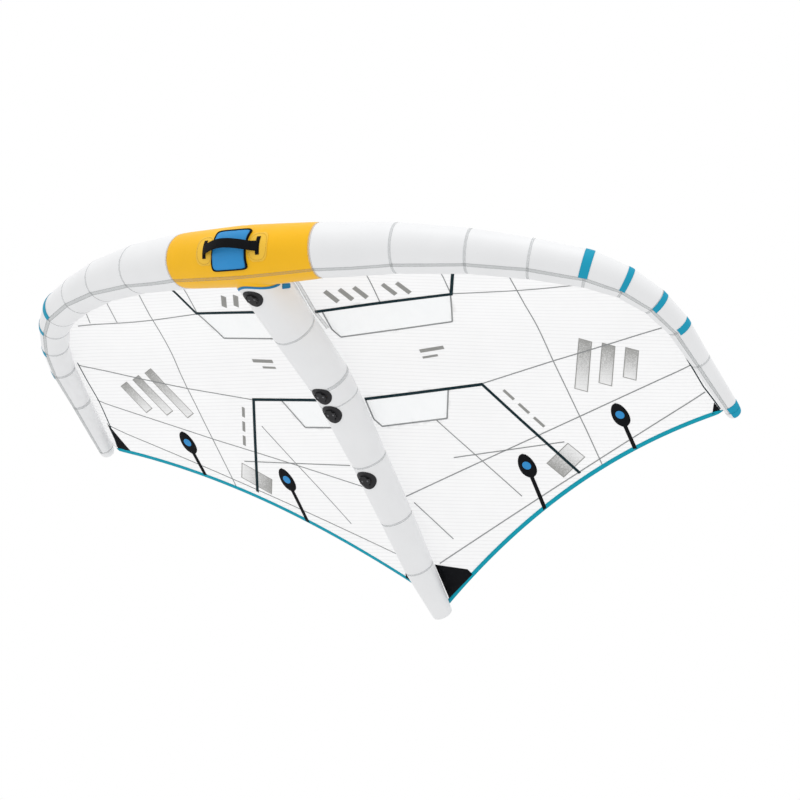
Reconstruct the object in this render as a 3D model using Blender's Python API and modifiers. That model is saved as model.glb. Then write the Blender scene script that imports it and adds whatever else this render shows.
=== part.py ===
"""Inflatable hand-held wing for foiling: air tubes, canopy, windows, fittings, handle and valve.

X runs across the span, -Y points forwards to the leading edge, +Z is up in flight.
The origin is the middle of the wing's bounding box.
"""
import math

import bmesh
import bpy
from mathutils import Matrix, Vector

# Overall sizes, all lengths in metres
HALF_SPAN = 1.56
SWEEP = 1.18
LE_RISE = 0.247
LE_RADIUS = 0.121
ROOT_CHORD = 1.829
NOSE_FORWARD = 0.84567
NOSE_DROP = 0.0649

# Leading edge tube: one row for each ring seam from the centre to the tip
LE_SPAN_SHARES = (0.0, 0.22, 0.421, 0.592, 0.731, 0.838, 0.907, 0.954, 0.98, 0.988, 1.0)
LE_SWEEP_SHARES = (0.0, 0.022, 0.081, 0.161, 0.25, 0.334, 0.42, 0.518, 0.631, 0.783, 1.0)
LE_RISE_SHARES = (0.0, 0.057, 0.296, 0.53, 0.723, 0.881, 0.975, 1.02, 1.035, 1.02, 1.0)
LE_RADIUS_SHARES = (1.0, 0.901, 0.818, 0.719, 0.657, 0.616, 0.529, 0.463, 0.405, 0.331, 0.256)
LE_PANEL_ENDS = (1, 2, 3, 4, 6, 8, 10)
TUBE_SIDES = 24
FABRIC_WALL = 0.0008
SEAM_GAP = 0.0003
TIP_CAP_LENGTH = 0.026

# Strut tube: one row for each ring seam from the nose to the tail
STRUT_RADIUS = 0.0945
STRUT_DROP = 0.107
STRUT_NOSE_BELOW = 0.03
STRUT_CHORD_SHARES = (0.0, 0.213, 0.358, 0.405, 0.586, 0.740, 0.879, 1.0)
STRUT_DROP_SHARES = (0.0, 0.215, 0.393, 0.355, -0.02, -0.4, -0.785, -1.0)
STRUT_RADIUS_SHARES = (1.0, 0.974, 0.931, 0.899, 0.772, 0.704, 0.624, 0.434)
STRUT_PANEL_ENDS = (0, 1, 3, 5, 7)
STRUT_END_CAP = 0.003

# Canopy surface
CANOPY_THICKNESS = 0.001
CANOPY_SEAT = 0.0014
SEAT_BLEND_SHARES = (0.14, 1.0)
ATTACH_ANGLE = math.radians(60)
DIHEDRAL_FRONT_SHARE = 0.088
DIHEDRAL_REAR_SHARE = 0.181
BELLY_HEIGHT = 0.062
BELLY_SPAN = 0.3
WEB_HEIGHT_SHARE = 0.75
WEB_FRONT_SHARE = 0.157
WEB_END_SHARE = 0.46
WEB_THICKNESS = 0.0012
CANOPY_ROW_SHARES = (0.0, 0.06, 0.125, 0.1874, 0.26, 0.3386, 0.3876, 0.48, 0.5764, 0.65, 0.737,
                     0.81, 0.8819, 0.94, 1.0)
TIP_FOOT_SHARE = 0.96154
TRAILING_DEPTH = 0.635
TRAILING_STRAIGHT_SHARE = 0.373
TRAILING_SPAN_SHARES = (0.0, 0.195, 0.365, 0.51, 0.635, 0.735, 0.81, 0.87, 0.918, 0.96, 1.0)
TAPE_WIDTH = 0.014
TAPE_THICKNESS = 0.0022
TAPE_GAP = 0.0014
LONG_SEAM = 0.908
STRIP_WIDTH = 0.014
STRIP_THICKNESS = 0.0006

# Outlines on the canopy, as shares of HALF_SPAN outwards and of ROOT_CHORD back from the nose
FRONT_WINDOW_SHARES = ((0.035, 0.243), (0.405, 0.253), (0.363, 0.321), (0.036, 0.309), (0.028, 0.287))
REAR_WINDOW_SHARES = ((0.026, 0.481), (0.267, 0.494), (0.228, 0.553), (0.037, 0.545), (0.026, 0.528))
FRONT_STRIP_SHARES = ((0.01, 0.232), (0.405, 0.244), (0.475, 0.135))
REAR_STRIP_SHARES = ((0.026, 0.473), (0.364, 0.489), (0.514, 0.733))
TAIL_PATCH_SHARES = ((0.02, 0.896), (0.099, 0.92), (0.104, 0.936), (0.02, 0.978))
TIP_PATCH_SPAN_SHARES = (0.957, 0.966, 0.917)
TIP_PATCH_REACHES = (0.107, 0.013, 0.021)
BATTEN_SPAN_SHARES = (0.382, 0.687)
BATTEN_FRONT_SHARES = (0.671, 0.594)
BATTEN_WIDTH = 0.017
BATTEN_PATCH_LENGTH = 0.105
BATTEN_PATCH_WIDTH = 0.06
POCKET_THICKNESS = 0.0014
POCKET_POINTS = 13

# Handle fittings under the strut
FITTING_CHORD_SHARES = (0.071, 0.382, 0.617)
FITTING_PAIR_GAP = 0.014766
FITTING_HALF_LENGTH = 0.042
FITTING_HALF_WIDTH = 0.043
FITTING_SKIN = 0.0035
FITTING_BOSS_RISE = 0.009
FITTING_BOSS_LENGTH = 0.046
FITTING_BOSS_WIDTH = 0.05
FITTING_SIDES = 32
SCREW_SPACING = 0.026
SCREW_POCKET_RADIUS = 0.005
SCREW_POCKET_DEPTH = 0.003

# Leading edge handle
HANDLE_ANGLE = math.radians(-142.5)
SLEEVE_STEP = math.radians(7.5)
STRAP_HALF_LENGTH = 0.118
STRAP_WIDTH = 0.038
STRAP_THICKNESS = 0.0026
STRAP_END_HEIGHT = 0.009
STRAP_ARCH = 0.037
STRAP_POINTS = 12
STRAP_FOOT = 0.01
END_TAPE_WIDTH = 0.018
END_TAPE_ANGLE = math.radians(37.5)
END_TAPE_THICKNESS = 0.0018
PAD_HALF_LENGTH = 0.078
PAD_WAIST = 0.007
PAD_ANGLE = math.radians(82.5)
PAD_THICKNESS = 0.008
BINDING_WIDTH = 0.006
BINDING_THICKNESS = 0.0095
PATCH_HALF_LENGTH = 0.046
PATCH_ANGLE = math.radians(60)
PATCH_THICKNESS = 0.0006
PATCH_CENTRE = 0.132

# Bladder opening at the strut's nose
OPENING_BAND_BACK = 0.022
OPENING_BAND_WIDTH = 0.007
OPENING_BAND_THICKNESS = 0.002
OPENING_BAND_SIDES = 5
TAB_LENGTH = 0.045
TAB_WIDTH = 0.02
TAB_THICKNESS = 0.0022
TAB_SIDE_ANGLE = math.radians(-172.5)
TAB_TURN = math.radians(42)
TAB_LIFT = 0.0017
TAB_FRONT_GAP = 0.0015

# Inflation valve, behind the first right-hand panel
VALVE_SHARE = 0.5
VALVE_NECK_RADIUS = 0.021
VALVE_RING_RADIUS = 0.027
VALVE_RING_HEIGHT = 0.0045
VALVE_SEAT = 0.0015
VALVE_BORE_RADIUS = 0.015
VALVE_BORE_DEPTH = 0.004
CAP_RADIUS = 0.0195
CAP_HEIGHT = 0.0065
CAP_RIBS = 16
CAP_RIB_DEPTH = 0.001
HOLE_CLEARANCE = 0.0004

# Air hose between the two bladders
HOSE_RADIUS = 0.008
HOSE_BORE_RADIUS = 0.0055
HOSE_INSERT = 0.014

MERGE_DISTANCE = 0.00001

COLOURS = {
    "white_fabric": ((0.87, 0.87, 0.88, 1.0), 0.55, 0.0),
    "yellow_fabric": ((0.94, 0.52, 0.02, 1.0), 0.5, 0.0),
    "canopy_cloth": ((0.9, 0.9, 0.91, 1.0), 0.5, 0.0),
    "window_film": ((0.93, 0.95, 0.97, 1.0), 0.12, 0.0),
    "navy_tape": ((0.01, 0.03, 0.045, 1.0), 0.6, 0.0),
    "teal_tape": ((0.01, 0.35, 0.46, 1.0), 0.55, 0.0),
    "blue_fabric": ((0.02, 0.24, 0.5, 1.0), 0.6, 0.0),
    "black_webbing": ((0.012, 0.012, 0.014, 1.0), 0.75, 0.0),
    "black_plastic": ((0.03, 0.03, 0.033, 1.0), 0.45, 0.0),
    "bladder_film": ((0.75, 0.78, 0.8, 1.0), 0.3, 0.0),
}

UP = Vector((0, 0, 1))
NOSE = Vector((0, -NOSE_FORWARD, -NOSE_DROP))


def start_scene():
    """Empty the scene and make one collection for the parts and one for the cutters."""
    for old in list(bpy.data.objects):
        bpy.data.objects.remove(old, do_unlink=True)
    groups = []
    for name in ("wingfoil_wing", "cutters"):
        group = bpy.data.collections.new(name)
        bpy.context.scene.collection.children.link(group)
        groups.append(group)
    return groups


PARTS, CUTTERS = start_scene()


def material(name):
    """Principled material with the colour, roughness and metallic value of one finish."""
    found = bpy.data.materials.get(name)
    if found:
        return found
    colour, roughness, metallic = COLOURS[name]
    made = bpy.data.materials.new(name)
    made.use_nodes = True
    shader = made.node_tree.nodes["Principled BSDF"]
    shader.inputs["Base Color"].default_value = colour
    shader.inputs["Roughness"].default_value = roughness
    shader.inputs["Metallic"].default_value = metallic
    made.diffuse_color = colour
    return made


def link(name, data, finish=None, smooth=True):
    """Link a mesh or curve as a part, or as a cutter when it has no finish."""
    item = bpy.data.objects.new(name, data)
    if finish is None:
        CUTTERS.objects.link(item)
        item.hide_render = True
        item.display_type = "WIRE"
        return item
    PARTS.objects.link(item)
    data.materials.append(material(finish))
    if smooth and item.type == "MESH":
        data.shade_smooth()
        data.set_sharp_from_angle(angle=math.radians(35))
    return item


def finish_mesh(name, bm, finish=None):
    """Turn a closed bmesh into an object, with its faces pointing outwards."""
    bmesh.ops.recalc_face_normals(bm, faces=bm.faces)
    if bm.calc_volume(signed=True) < 0:
        bmesh.ops.reverse_faces(bm, faces=bm.faces)
    mesh = bpy.data.meshes.new(name)
    bm.to_mesh(mesh)
    bm.free()
    return link(name, mesh, finish)


def cut(target, cutter, operation="DIFFERENCE"):
    """Boolean one object with another, keeping the exact solver."""
    step = target.modifiers.new(cutter.name[:40], "BOOLEAN")
    step.operation = operation
    step.object = cutter
    return target


def thicken(target, thickness, offset):
    """Give an open surface its wall."""
    wall = target.modifiers.new("wall", "SOLIDIFY")
    wall.thickness = thickness
    wall.offset = offset
    wall.use_even_offset = True
    return target


def bisector(before, after):
    """Unit direction half way between two directions."""
    return (before.normalized() + after.normalized()).normalized()


class Tube:
    """A chain of round sections, each with a centre, a radius and the direction it faces."""

    def __init__(self, centres, radii):
        self.centres = centres
        self.radii = radii
        runs = [b - a for a, b in zip(centres, centres[1:])]
        self.faces = [runs[0].normalized()]
        self.faces += [bisector(a, b) for a, b in zip(runs, runs[1:])]
        self.faces += [runs[-1].normalized()]

    def place(self, position):
        """Centre, radius, side and upright direction at a position counted in sections."""
        index = min(int(position), len(self.centres) - 2)
        share = position - index
        centre = self.centres[index].lerp(self.centres[index + 1], share)
        radius = self.radii[index] * (1 - share) + self.radii[index + 1] * share
        facing = self.faces[index].lerp(self.faces[index + 1], share).normalized()
        side = UP.cross(facing).normalized()
        return centre, radius, side, facing.cross(side)

    def run_length(self, index):
        return (self.centres[index + 1] - self.centres[index]).length

    def ring(self, position, lift=0.0):
        """The corners of the round section at a position, moved outwards by a lift."""
        centre, radius, side, upright = self.place(position)
        radius += lift
        turns = [math.tau * k / TUBE_SIDES for k in range(TUBE_SIDES)]
        return [centre + radius * (math.cos(a) * side + math.sin(a) * upright) for a in turns]

    def surface(self, position, angle, lift=0.0):
        """A point over the flat-sided skin: angle 0 is the side, 90 degrees is the top."""
        centre, radius, side, upright = self.place(position)
        step = math.tau / TUBE_SIDES
        within = angle % step - step / 2
        reach = radius * math.cos(step / 2) / math.cos(within) + lift
        return centre + reach * (math.cos(angle) * side + math.sin(angle) * upright)


def skin(bm, first, second):
    """Triangles between two rows of corners, split the same way on every tube."""
    count = len(first)
    for k in range(count):
        after = (k + 1) % count
        bm.faces.new((first[k], first[after], second[after]))
        bm.faces.new((first[k], second[after], second[k]))


def ladder_cap(bm, row):
    """Close an end whose corners run along its low side and back along its high side."""
    pairs = list(zip(row[:len(row) // 2], reversed(row)))
    for (low, high), (next_low, next_high) in zip(pairs, pairs[1:]):
        bm.faces.new((low, next_low, next_high, high))


def loft(bm, sections, closed=False, ladder=False):
    """Join sections of equally many corners with faces, and cap the two ends."""
    rows = [[bm.verts.new(corner) for corner in section] for section in sections]
    for first, second in zip(rows, rows[1:]):
        skin(bm, first, second)
    if closed:
        skin(bm, rows[-1], rows[0])
    for row in () if closed else (rows[0], rows[-1]):
        if ladder:
            ladder_cap(bm, row)
        else:
            bm.faces.new(row)
    return bm


def tube_wall(name, tube, start, end, finish):
    """A thin-walled open tube between two positions, a seam gap short at each end."""
    first = start + SEAM_GAP / 2 / tube.run_length(start)
    last = end - SEAM_GAP / 2 / tube.run_length(end - 1)
    stops = [first] + list(range(start + 1, end)) + [last]
    bm = bmesh.new()
    outer = [[bm.verts.new(corner) for corner in tube.ring(stop)] for stop in stops]
    inner = [[bm.verts.new(corner) for corner in tube.ring(stop, -FABRIC_WALL)] for stop in stops]
    for skins in (outer, inner):
        for near, far in zip(skins, skins[1:]):
            skin(bm, near, far)
    skin(bm, outer[0], inner[0])
    skin(bm, outer[-1], inner[-1])
    return finish_mesh(name, bm, finish)


def tube_solid(name, tube, stops, lift, finish=None):
    """A solid body that fills a tube, or an envelope around it when the lift is positive."""
    sections = [tube.ring(stop, lift) for stop in stops]
    return finish_mesh(name, loft(bmesh.new(), sections), finish)


def cylinder(name, centre, axis, radius, length, finish=None, sides=32):
    """A round bar centred on a point."""
    bm = bmesh.new()
    bmesh.ops.create_cone(bm, cap_ends=True, segments=sides, radius1=radius, radius2=radius,
                          depth=length)
    turn = axis.to_track_quat("Z", "Y").to_matrix().to_4x4()
    bmesh.ops.transform(bm, matrix=Matrix.Translation(centre) @ turn, verts=bm.verts)
    return finish_mesh(name, bm, finish)


def flat_outline(name, outline, width, finish, location, turn):
    """A flat outline given its width along the third axis of a turn."""
    bm = bmesh.new()
    loft(bm, [[Vector((x, y, z)) for x, y in outline] for z in (-width / 2, width / 2)])
    item = finish_mesh(name, bm, finish)
    item.location = location
    item.rotation_euler = turn.to_euler()
    return item


def lerp(low, high, share):
    return low + (high - low) * share


def table(shares, position):
    """Read a table of shares at a position counted in rows."""
    index = min(int(position), len(shares) - 2)
    return lerp(shares[index], shares[index + 1], position - index)


# The air tubes' sections
def leading_edge_tube():
    """One chain of sections from the left tip to the right tip."""
    right = []
    for span, sweep, rise in zip(LE_SPAN_SHARES, LE_SWEEP_SHARES, LE_RISE_SHARES):
        right.append(NOSE + Vector((span * HALF_SPAN, sweep * SWEEP, rise * LE_RISE)))
    left = [Vector((-c.x, c.y, c.z)) for c in reversed(right[1:])]
    radii = [share * LE_RADIUS for share in LE_RADIUS_SHARES]
    return Tube(left + right, radii[:0:-1] + radii)


def strut_tube():
    """The strut's chain of sections, from inside the leading edge to the tail."""
    centres = []
    for chord, drop in zip(STRUT_CHORD_SHARES, STRUT_DROP_SHARES):
        height = drop * STRUT_DROP - STRUT_NOSE_BELOW
        centres.append(NOSE + Vector((0, chord * ROOT_CHORD, height)))
    return Tube(centres, [share * STRUT_RADIUS for share in STRUT_RADIUS_SHARES])


LE = leading_edge_tube()
STRUT = strut_tube()
LE_MIDDLE = len(LE_SPAN_SHARES) - 1
LE_LAST = 2 * LE_MIDDLE
STRUT_LAST = len(STRUT_CHORD_SHARES) - 1
BLADDER_INSET = FABRIC_WALL + SEAM_GAP


def strut_position(back):
    """The strut position, counted in sections, of a distance back from the nose."""
    stops = [share * ROOT_CHORD for share in STRUT_CHORD_SHARES]
    for index in range(STRUT_LAST):
        if back <= stops[index + 1] or index == STRUT_LAST - 1:
            return index + (back - stops[index]) / (stops[index + 1] - stops[index])
    return STRUT_LAST


TOP_LINE = [STRUT.ring(stop)[TUBE_SIDES // 4] for stop in range(STRUT_LAST + 1)]


def strut_top(back):
    """Height of the strut's top line at a distance back from the nose."""
    for low, high in zip(TOP_LINE, TOP_LINE[1:]):
        if NOSE.y + back <= high.y:
            break
    return lerp(low.z, high.z, (NOSE.y + back - low.y) / (high.y - low.y))


def belly_height(x, back):
    """How far the canopy stands over the strut's line, highest behind the leading edge."""
    share = (back / ROOT_CHORD - WEB_FRONT_SHARE) / (WEB_END_SHARE - WEB_FRONT_SHARE)
    height = BELLY_HEIGHT * (1 - min(max(share, 0), 1)) ** 1.3
    return height * lerp(WEB_HEIGHT_SHARE, 1, min(x / BELLY_SPAN, 1))


def canopy_height(x, y):
    """Height of the canopy: the strut's line, the belly over it and the dihedral outwards."""
    back = y - NOSE.y
    slope = lerp(DIHEDRAL_FRONT_SHARE, DIHEDRAL_REAR_SHARE, back / ROOT_CHORD)
    return strut_top(back) + CANOPY_SEAT + belly_height(x, back) + slope * x


def trailing_y(x):
    """The hollow trailing edge, a parabola from each tip to the tail."""
    foot = TIP_FOOT_SHARE * HALF_SPAN
    share = (foot - x) / foot
    depth = TRAILING_STRAIGHT_SHARE * share + (1 - TRAILING_STRAIGHT_SHARE) * share ** 2
    tail = NOSE.y + ROOT_CHORD
    return tail - TRAILING_DEPTH * (1 - depth)


def canopy_edges(column):
    """The seat on the leading edge and the foot on the trailing edge of one canopy column."""
    centre, radius, side, upright = LE.place(LE_MIDDLE + column)
    reach = radius + SEAM_GAP + CANOPY_THICKNESS / 2
    seat = centre + reach * (math.cos(ATTACH_ANGLE) * side + math.sin(ATTACH_ANGLE) * upright)
    x = table(TRAILING_SPAN_SHARES, column) * TIP_FOOT_SHARE * HALF_SPAN
    return seat, Vector((x, trailing_y(x), 0))


def canopy_point(column, near_trailing, share):
    """A point on the right half: share 0 to 1 runs over the cloth or over the edge tape."""
    seat, foot = canopy_edges(column)
    run = Vector((foot.x - seat.x, foot.y - seat.y, 0))
    tape_share = TAPE_WIDTH / run.length
    if near_trailing:
        along = lerp(1 - tape_share + TAPE_GAP / run.length, 1, share)
    else:
        along = (1 - tape_share) * share
    x = max(seat.x + run.x * along, 0 if near_trailing else SEAM_GAP / 2)
    y = seat.y + run.y * along
    outwards = column / LE_MIDDLE
    blend = lerp(SEAT_BLEND_SHARES[0], SEAT_BLEND_SHARES[1], outwards)
    fade = max(1 - along / blend, 0) ** (2 - outwards)
    settle = (seat.z - canopy_height(seat.x, seat.y)) * fade
    return Vector((x, y, canopy_height(x, y) + settle))


def canopy_sheet(near_trailing=False):
    """The open surface of the right half of the canopy, or of its trailing edge tape."""
    bm = bmesh.new()
    shares = (0, 1) if near_trailing else CANOPY_ROW_SHARES
    rows = len(shares) - 1
    bmesh.ops.create_grid(bm, x_segments=LE_MIDDLE, y_segments=rows, size=1)
    for corner in bm.verts:
        column = round((corner.co.x + 1) / 2 * LE_MIDDLE)
        row = round((corner.co.y + 1) / 2 * rows)
        corner.co = canopy_point(column, near_trailing, shares[row])
    bmesh.ops.recalc_face_normals(bm, faces=bm.faces)
    if sum((face.normal.z for face in bm.faces)) < 0:
        bmesh.ops.reverse_faces(bm, faces=bm.faces)
    bmesh.ops.triangulate(bm, faces=bm.faces, quad_method="FIXED")
    return bm


def trim(bm, outline, inset=0.0):
    """Keep what lies inside a convex outline on the plan, drawn in by an inset."""
    middle = sum((Vector(p) for p in outline), Vector((0, 0))) / len(outline)
    for a, b in zip(outline, outline[1:] + outline[:1]):
        start, run = Vector(a), Vector(b) - Vector(a)
        away = Vector((run.y, -run.x)).normalized()
        if away.dot(middle - start) > 0:
            away = -away
        point = start - away * inset
        geometry = bm.verts[:] + bm.edges[:] + bm.faces[:]
        bmesh.ops.bisect_plane(bm, geom=geometry, plane_co=point.to_3d(),
                               plane_no=away.to_3d(), clear_outer=True)
    return bm


def mirrored(bm):
    """The same surface on the left half."""
    for corner in bm.verts:
        corner.co.x = -corner.co.x
    bmesh.ops.reverse_faces(bm, faces=bm.faces)
    return bm


def under_canopy(bm, depth):
    """Move a trimmed piece of the canopy's surface down below the cloth."""
    bm.normal_update()
    moves = [corner.normal * depth for corner in bm.verts]
    for corner, move in zip(bm.verts, moves):
        corner.co -= move
    return bm


def plan(shares):
    """Turn shares of the half span and root chord into plan coordinates."""
    return [(span * HALF_SPAN, NOSE.y + chord * ROOT_CHORD) for span, chord in shares]


def band_outline(points, width):
    """The outline on the plan of a tape of even width along a bent line."""
    path = [Vector(point) for point in points]
    runs = [(b - a).normalized() for a, b in zip(path, path[1:])]
    near, far = [], []
    for index, point in enumerate(path):
        before = runs[max(index - 1, 0)]
        after = runs[min(index, len(runs) - 1)]
        middle = (before + after).normalized()
        across = Vector((middle.y, -middle.x)) * width / 2 / middle.dot(after)
        near.append(tuple(point + across))
        far.append(tuple(point - across))
    return near + far[::-1]


def pocket_outline(x, front, back):
    """A batten pocket on the plan: an oval patch with a strip running back from it."""
    middle = front + BATTEN_PATCH_LENGTH / 2
    half_strip = BATTEN_WIDTH / 2
    meet = math.asin(half_strip / (BATTEN_PATCH_WIDTH / 2))
    points = [(x + half_strip, back)]
    for number in range(POCKET_POINTS):
        angle = math.pi / 2 - meet - number / (POCKET_POINTS - 1) * (math.tau - 2 * meet)
        points.append((x + BATTEN_PATCH_WIDTH / 2 * math.cos(angle),
                       middle + BATTEN_PATCH_LENGTH / 2 * math.sin(angle)))
    points.append((x - half_strip, back))
    return points


def sheet_piece(name, bm, finish, thickness, offset):
    """Give an open piece of surface its object and its thickness."""
    mesh = bpy.data.meshes.new(name)
    bm.to_mesh(mesh)
    bm.free()
    return thicken(link(name, mesh, finish), thickness, offset)


# Leading edge: sleeve, panels, caps and bladder
def build_leading_edge():
    sleeve = tube_wall("le_centre_sleeve", LE, LE_MIDDLE - 1, LE_MIDDLE + 1, "yellow_fabric")
    cut(sleeve, HOSE_HOLE)
    ends = zip(LE_PANEL_ENDS, LE_PANEL_ENDS[1:])
    for number, (first, last) in enumerate(ends, 1):
        right = tube_wall(f"le_panel_right_{number}", LE, LE_MIDDLE + first, LE_MIDDLE + last,
                          "white_fabric")
        tube_wall(f"le_panel_left_{number}", LE, LE_MIDDLE - last, LE_MIDDLE - first,
                  "white_fabric")
        if number == 1:
            cut(right, VALVE_HOLE)
    bladder = tube_solid("le_bladder", LE, range(LE_LAST + 1), -BLADDER_INSET, "bladder_film")
    cut(bladder, HOSE_SOCKET)
    build_tip_caps()


def build_tip_caps():
    """Rounded fabric ends, closed over the last ring seam at each tip."""
    profile_shares = ((0.0, 1.0), (0.45, 0.97), (0.8, 0.8), (1.0, 0.45))
    for side_name, position, sign in (("right", LE_LAST, 1), ("left", 0, -1)):
        centre, radius, side, upright = LE.place(position)
        facing = LE.faces[position] * sign
        sections = []
        for along, size in profile_shares:
            middle = centre + facing * (SEAM_GAP + along * TIP_CAP_LENGTH)
            turns = [math.tau * k / TUBE_SIDES for k in range(TUBE_SIDES)]
            sections.append([middle + size * radius * (math.cos(a) * side + math.sin(a) * upright)
                             for a in turns])
        finish_mesh(f"le_tip_cap_{side_name}", loft(bmesh.new(), sections), "white_fabric")


# Strut: panels, end cap, bladder and web
def build_strut():
    ends = zip(STRUT_PANEL_ENDS, STRUT_PANEL_ENDS[1:])
    for number, (first, last) in enumerate(ends, 1):
        panel = tube_wall(f"strut_panel_{number}", STRUT, first, last, "white_fabric")
        if number == 1:
            cut(panel, NOSE_COPE)
    stops = list(range(STRUT_LAST + 1))
    bladder = tube_solid("strut_bladder", STRUT, stops, -BLADDER_INSET, "bladder_film")
    cut(bladder, NOSE_COPE)
    cut(bladder, HOSE_SOCKET)
    centre, radius, side, upright = STRUT.place(STRUT_LAST)
    facing = STRUT.faces[-1]
    middle = centre + facing * (SEAM_GAP + STRUT_END_CAP / 2)
    cap = cylinder("strut_end_cap", middle, facing, radius, STRUT_END_CAP, "white_fabric",
                   TUBE_SIDES)
    edge = cap.modifiers.new("edge", "BEVEL")
    edge.width = STRUT_END_CAP / 3
    edge.segments = 1
    build_web()


def build_web():
    """Fabric fin between the strut's top line and the middle of the canopy."""
    end = WEB_END_SHARE * ROOT_CHORD
    reach = LE_RADIUS + SEAM_GAP
    below = [corner.y - NOSE.y for corner in TOP_LINE[1:] if corner.y - NOSE.y < end]
    centre_low = -STRUT_NOSE_BELOW + STRUT_RADIUS + SEAM_GAP
    low = math.sqrt(reach ** 2 - centre_low ** 2)
    front = []
    for number in range(4):
        seat_height = math.sin(ATTACH_ANGLE) * reach - CANOPY_THICKNESS
        height = lerp(seat_height, centre_low, number / 3)
        front.append((math.sqrt(reach ** 2 - height ** 2) + SEAM_GAP, height))
    bottom = [(back, strut_top(back) - NOSE.z + SEAM_GAP) for back in [low + SEAM_GAP] + below]
    tip = (end, strut_top(end) - NOSE.z + SEAM_GAP)
    outline = front[:-1] + bottom + [tip]
    first_back = front[0][0]
    top = []
    for share in CANOPY_ROW_SHARES:
        back, height = web_top(share)
        if first_back < back < end:
            top.append((back, height))
    outline += reversed(top)
    turn = Matrix((Vector((0, 1, 0)), UP, Vector((1, 0, 0)))).transposed()
    flat_outline("strut_web", outline, WEB_THICKNESS, "white_fabric", NOSE, turn)


def web_top(share):
    """Distance back and height of the canopy's underside over the web."""
    point = canopy_point(0, False, share) - NOSE
    return point.y, point.z - CANOPY_THICKNESS / 2 - SEAM_GAP


# Canopy: four cloth panels, four windows, edge tape, load strips, battens and patches
def build_canopy():
    reach = 2 * HALF_SPAN
    inner = [(-reach, -reach), (LONG_SEAM, -reach), (LONG_SEAM, reach), (-reach, reach)]
    outer = [(LONG_SEAM, -reach), (reach, -reach), (reach, reach), (LONG_SEAM, reach)]
    windows = {"front": plan(FRONT_WINDOW_SHARES), "rear": plan(REAR_WINDOW_SHARES)}
    for side, sign in (("right", 1), ("left", -1)):
        flip = mirrored if sign < 0 else (lambda bm: bm)
        cloth = sheet_piece(f"canopy_inner_{side}",
                            flip(trim(canopy_sheet(), inner, SEAM_GAP / 2)),
                            "canopy_cloth", CANOPY_THICKNESS, 0)
        sheet_piece(f"canopy_outer_{side}", flip(trim(canopy_sheet(), outer, SEAM_GAP / 2)),
                    "canopy_cloth", CANOPY_THICKNESS, 0)
        for where, outline in windows.items():
            cut(cloth, prism(f"{where}_window_hole_{side}", outline, sign))
            sheet_piece(f"window_{where}_{side}", flip(trim(canopy_sheet(), outline, SEAM_GAP)),
                        "window_film", CANOPY_THICKNESS, 0)
        build_under_pieces(side, sign)
    build_edge_tape()


def build_edge_tape():
    """Folded tape along the whole trailing edge, one half mirrored at the tail."""
    bm = canopy_sheet(near_trailing=True)
    mesh = bpy.data.meshes.new("trailing_edge_tape")
    bm.to_mesh(mesh)
    bm.free()
    tape = link("trailing_edge_tape", mesh, "teal_tape")
    half = tape.modifiers.new("other half", "MIRROR")
    half.merge_threshold = MERGE_DISTANCE
    thicken(tape, TAPE_THICKNESS, 0)


def prism(name, outline, sign):
    """An upright cutter over an outline on the plan."""
    bm = bmesh.new()
    heights = (-HALF_SPAN / 2, HALF_SPAN / 2)
    loft(bm, [[Vector((sign * x, y, z)) for x, y in outline] for z in heights])
    return finish_mesh(name, bm)


def under_patch(name, outline, sign, finish, thickness, margin=0.0):
    """A piece sewn under the cloth, trimmed to a convex outline on the plan."""
    bm = under_canopy(trim(canopy_sheet(), outline, -margin), CANOPY_THICKNESS / 2 + SEAM_GAP)
    if sign < 0:
        bm = mirrored(bm)
    return sheet_piece(name, bm, finish, thickness, -1)


def under_band(name, outline, sign, finish, thickness):
    """A piece sewn under the cloth, with a bent or waisted outline on the plan."""
    across = [x for x, y in outline]
    along = [y for x, y in outline]
    box = [(min(across), min(along)), (max(across), min(along)),
           (max(across), max(along)), (min(across), max(along))]
    piece = under_patch(name, box, sign, finish, thickness, STRIP_WIDTH)
    return cut(piece, prism(f"{name}_outline", outline, sign), "INTERSECT")


def build_under_pieces(side, sign):
    """Load strips, batten pockets and corner patches of one half."""
    for where, shares in (("front", FRONT_STRIP_SHARES), ("rear", REAR_STRIP_SHARES)):
        under_band(f"load_strip_{where}_{side}", band_outline(plan(shares), STRIP_WIDTH), sign,
                   "navy_tape", STRIP_THICKNESS)
    pockets = zip(("inner", "outer"), BATTEN_SPAN_SHARES, BATTEN_FRONT_SHARES)
    for where, span, front in pockets:
        x, y = plan(((span, front),))[0]
        back = trailing_y(x) - TAPE_WIDTH * 1.5
        under_band(f"batten_pocket_{where}_{side}", pocket_outline(x, y, back), sign,
                   "black_webbing", POCKET_THICKNESS)
    tip = [(span * HALF_SPAN, trailing_y(span * HALF_SPAN) - reach)
           for span, reach in zip(TIP_PATCH_SPAN_SHARES, TIP_PATCH_REACHES)]
    for where, outline in (("tail", plan(TAIL_PATCH_SHARES)), ("tip", tip)):
        under_patch(f"{where}_patch_{side}", outline, sign, "black_webbing", STRIP_THICKNESS)


# Handle fittings under the strut
def fitting_frames():
    """The middle of each fitting on the strut's bottom line, its radius and its direction.

    The third fitting stands close behind the second, at its own clearance.
    """
    frames = []
    backs = [share * ROOT_CHORD for share in FITTING_CHORD_SHARES]
    backs.insert(2, backs[1] + 2 * FITTING_HALF_LENGTH + FITTING_PAIR_GAP)
    for back in backs:
        position = strut_position(back)
        centre, radius, side, upright = STRUT.place(position)
        run = STRUT.centres[int(position) + 1] - STRUT.centres[int(position)]
        facing = run.normalized()
        down = facing.cross(Vector((1, 0, 0))).normalized()
        if down.z > 0:
            down = -down
        frames.append((centre, radius, facing, down))
    return frames


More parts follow.
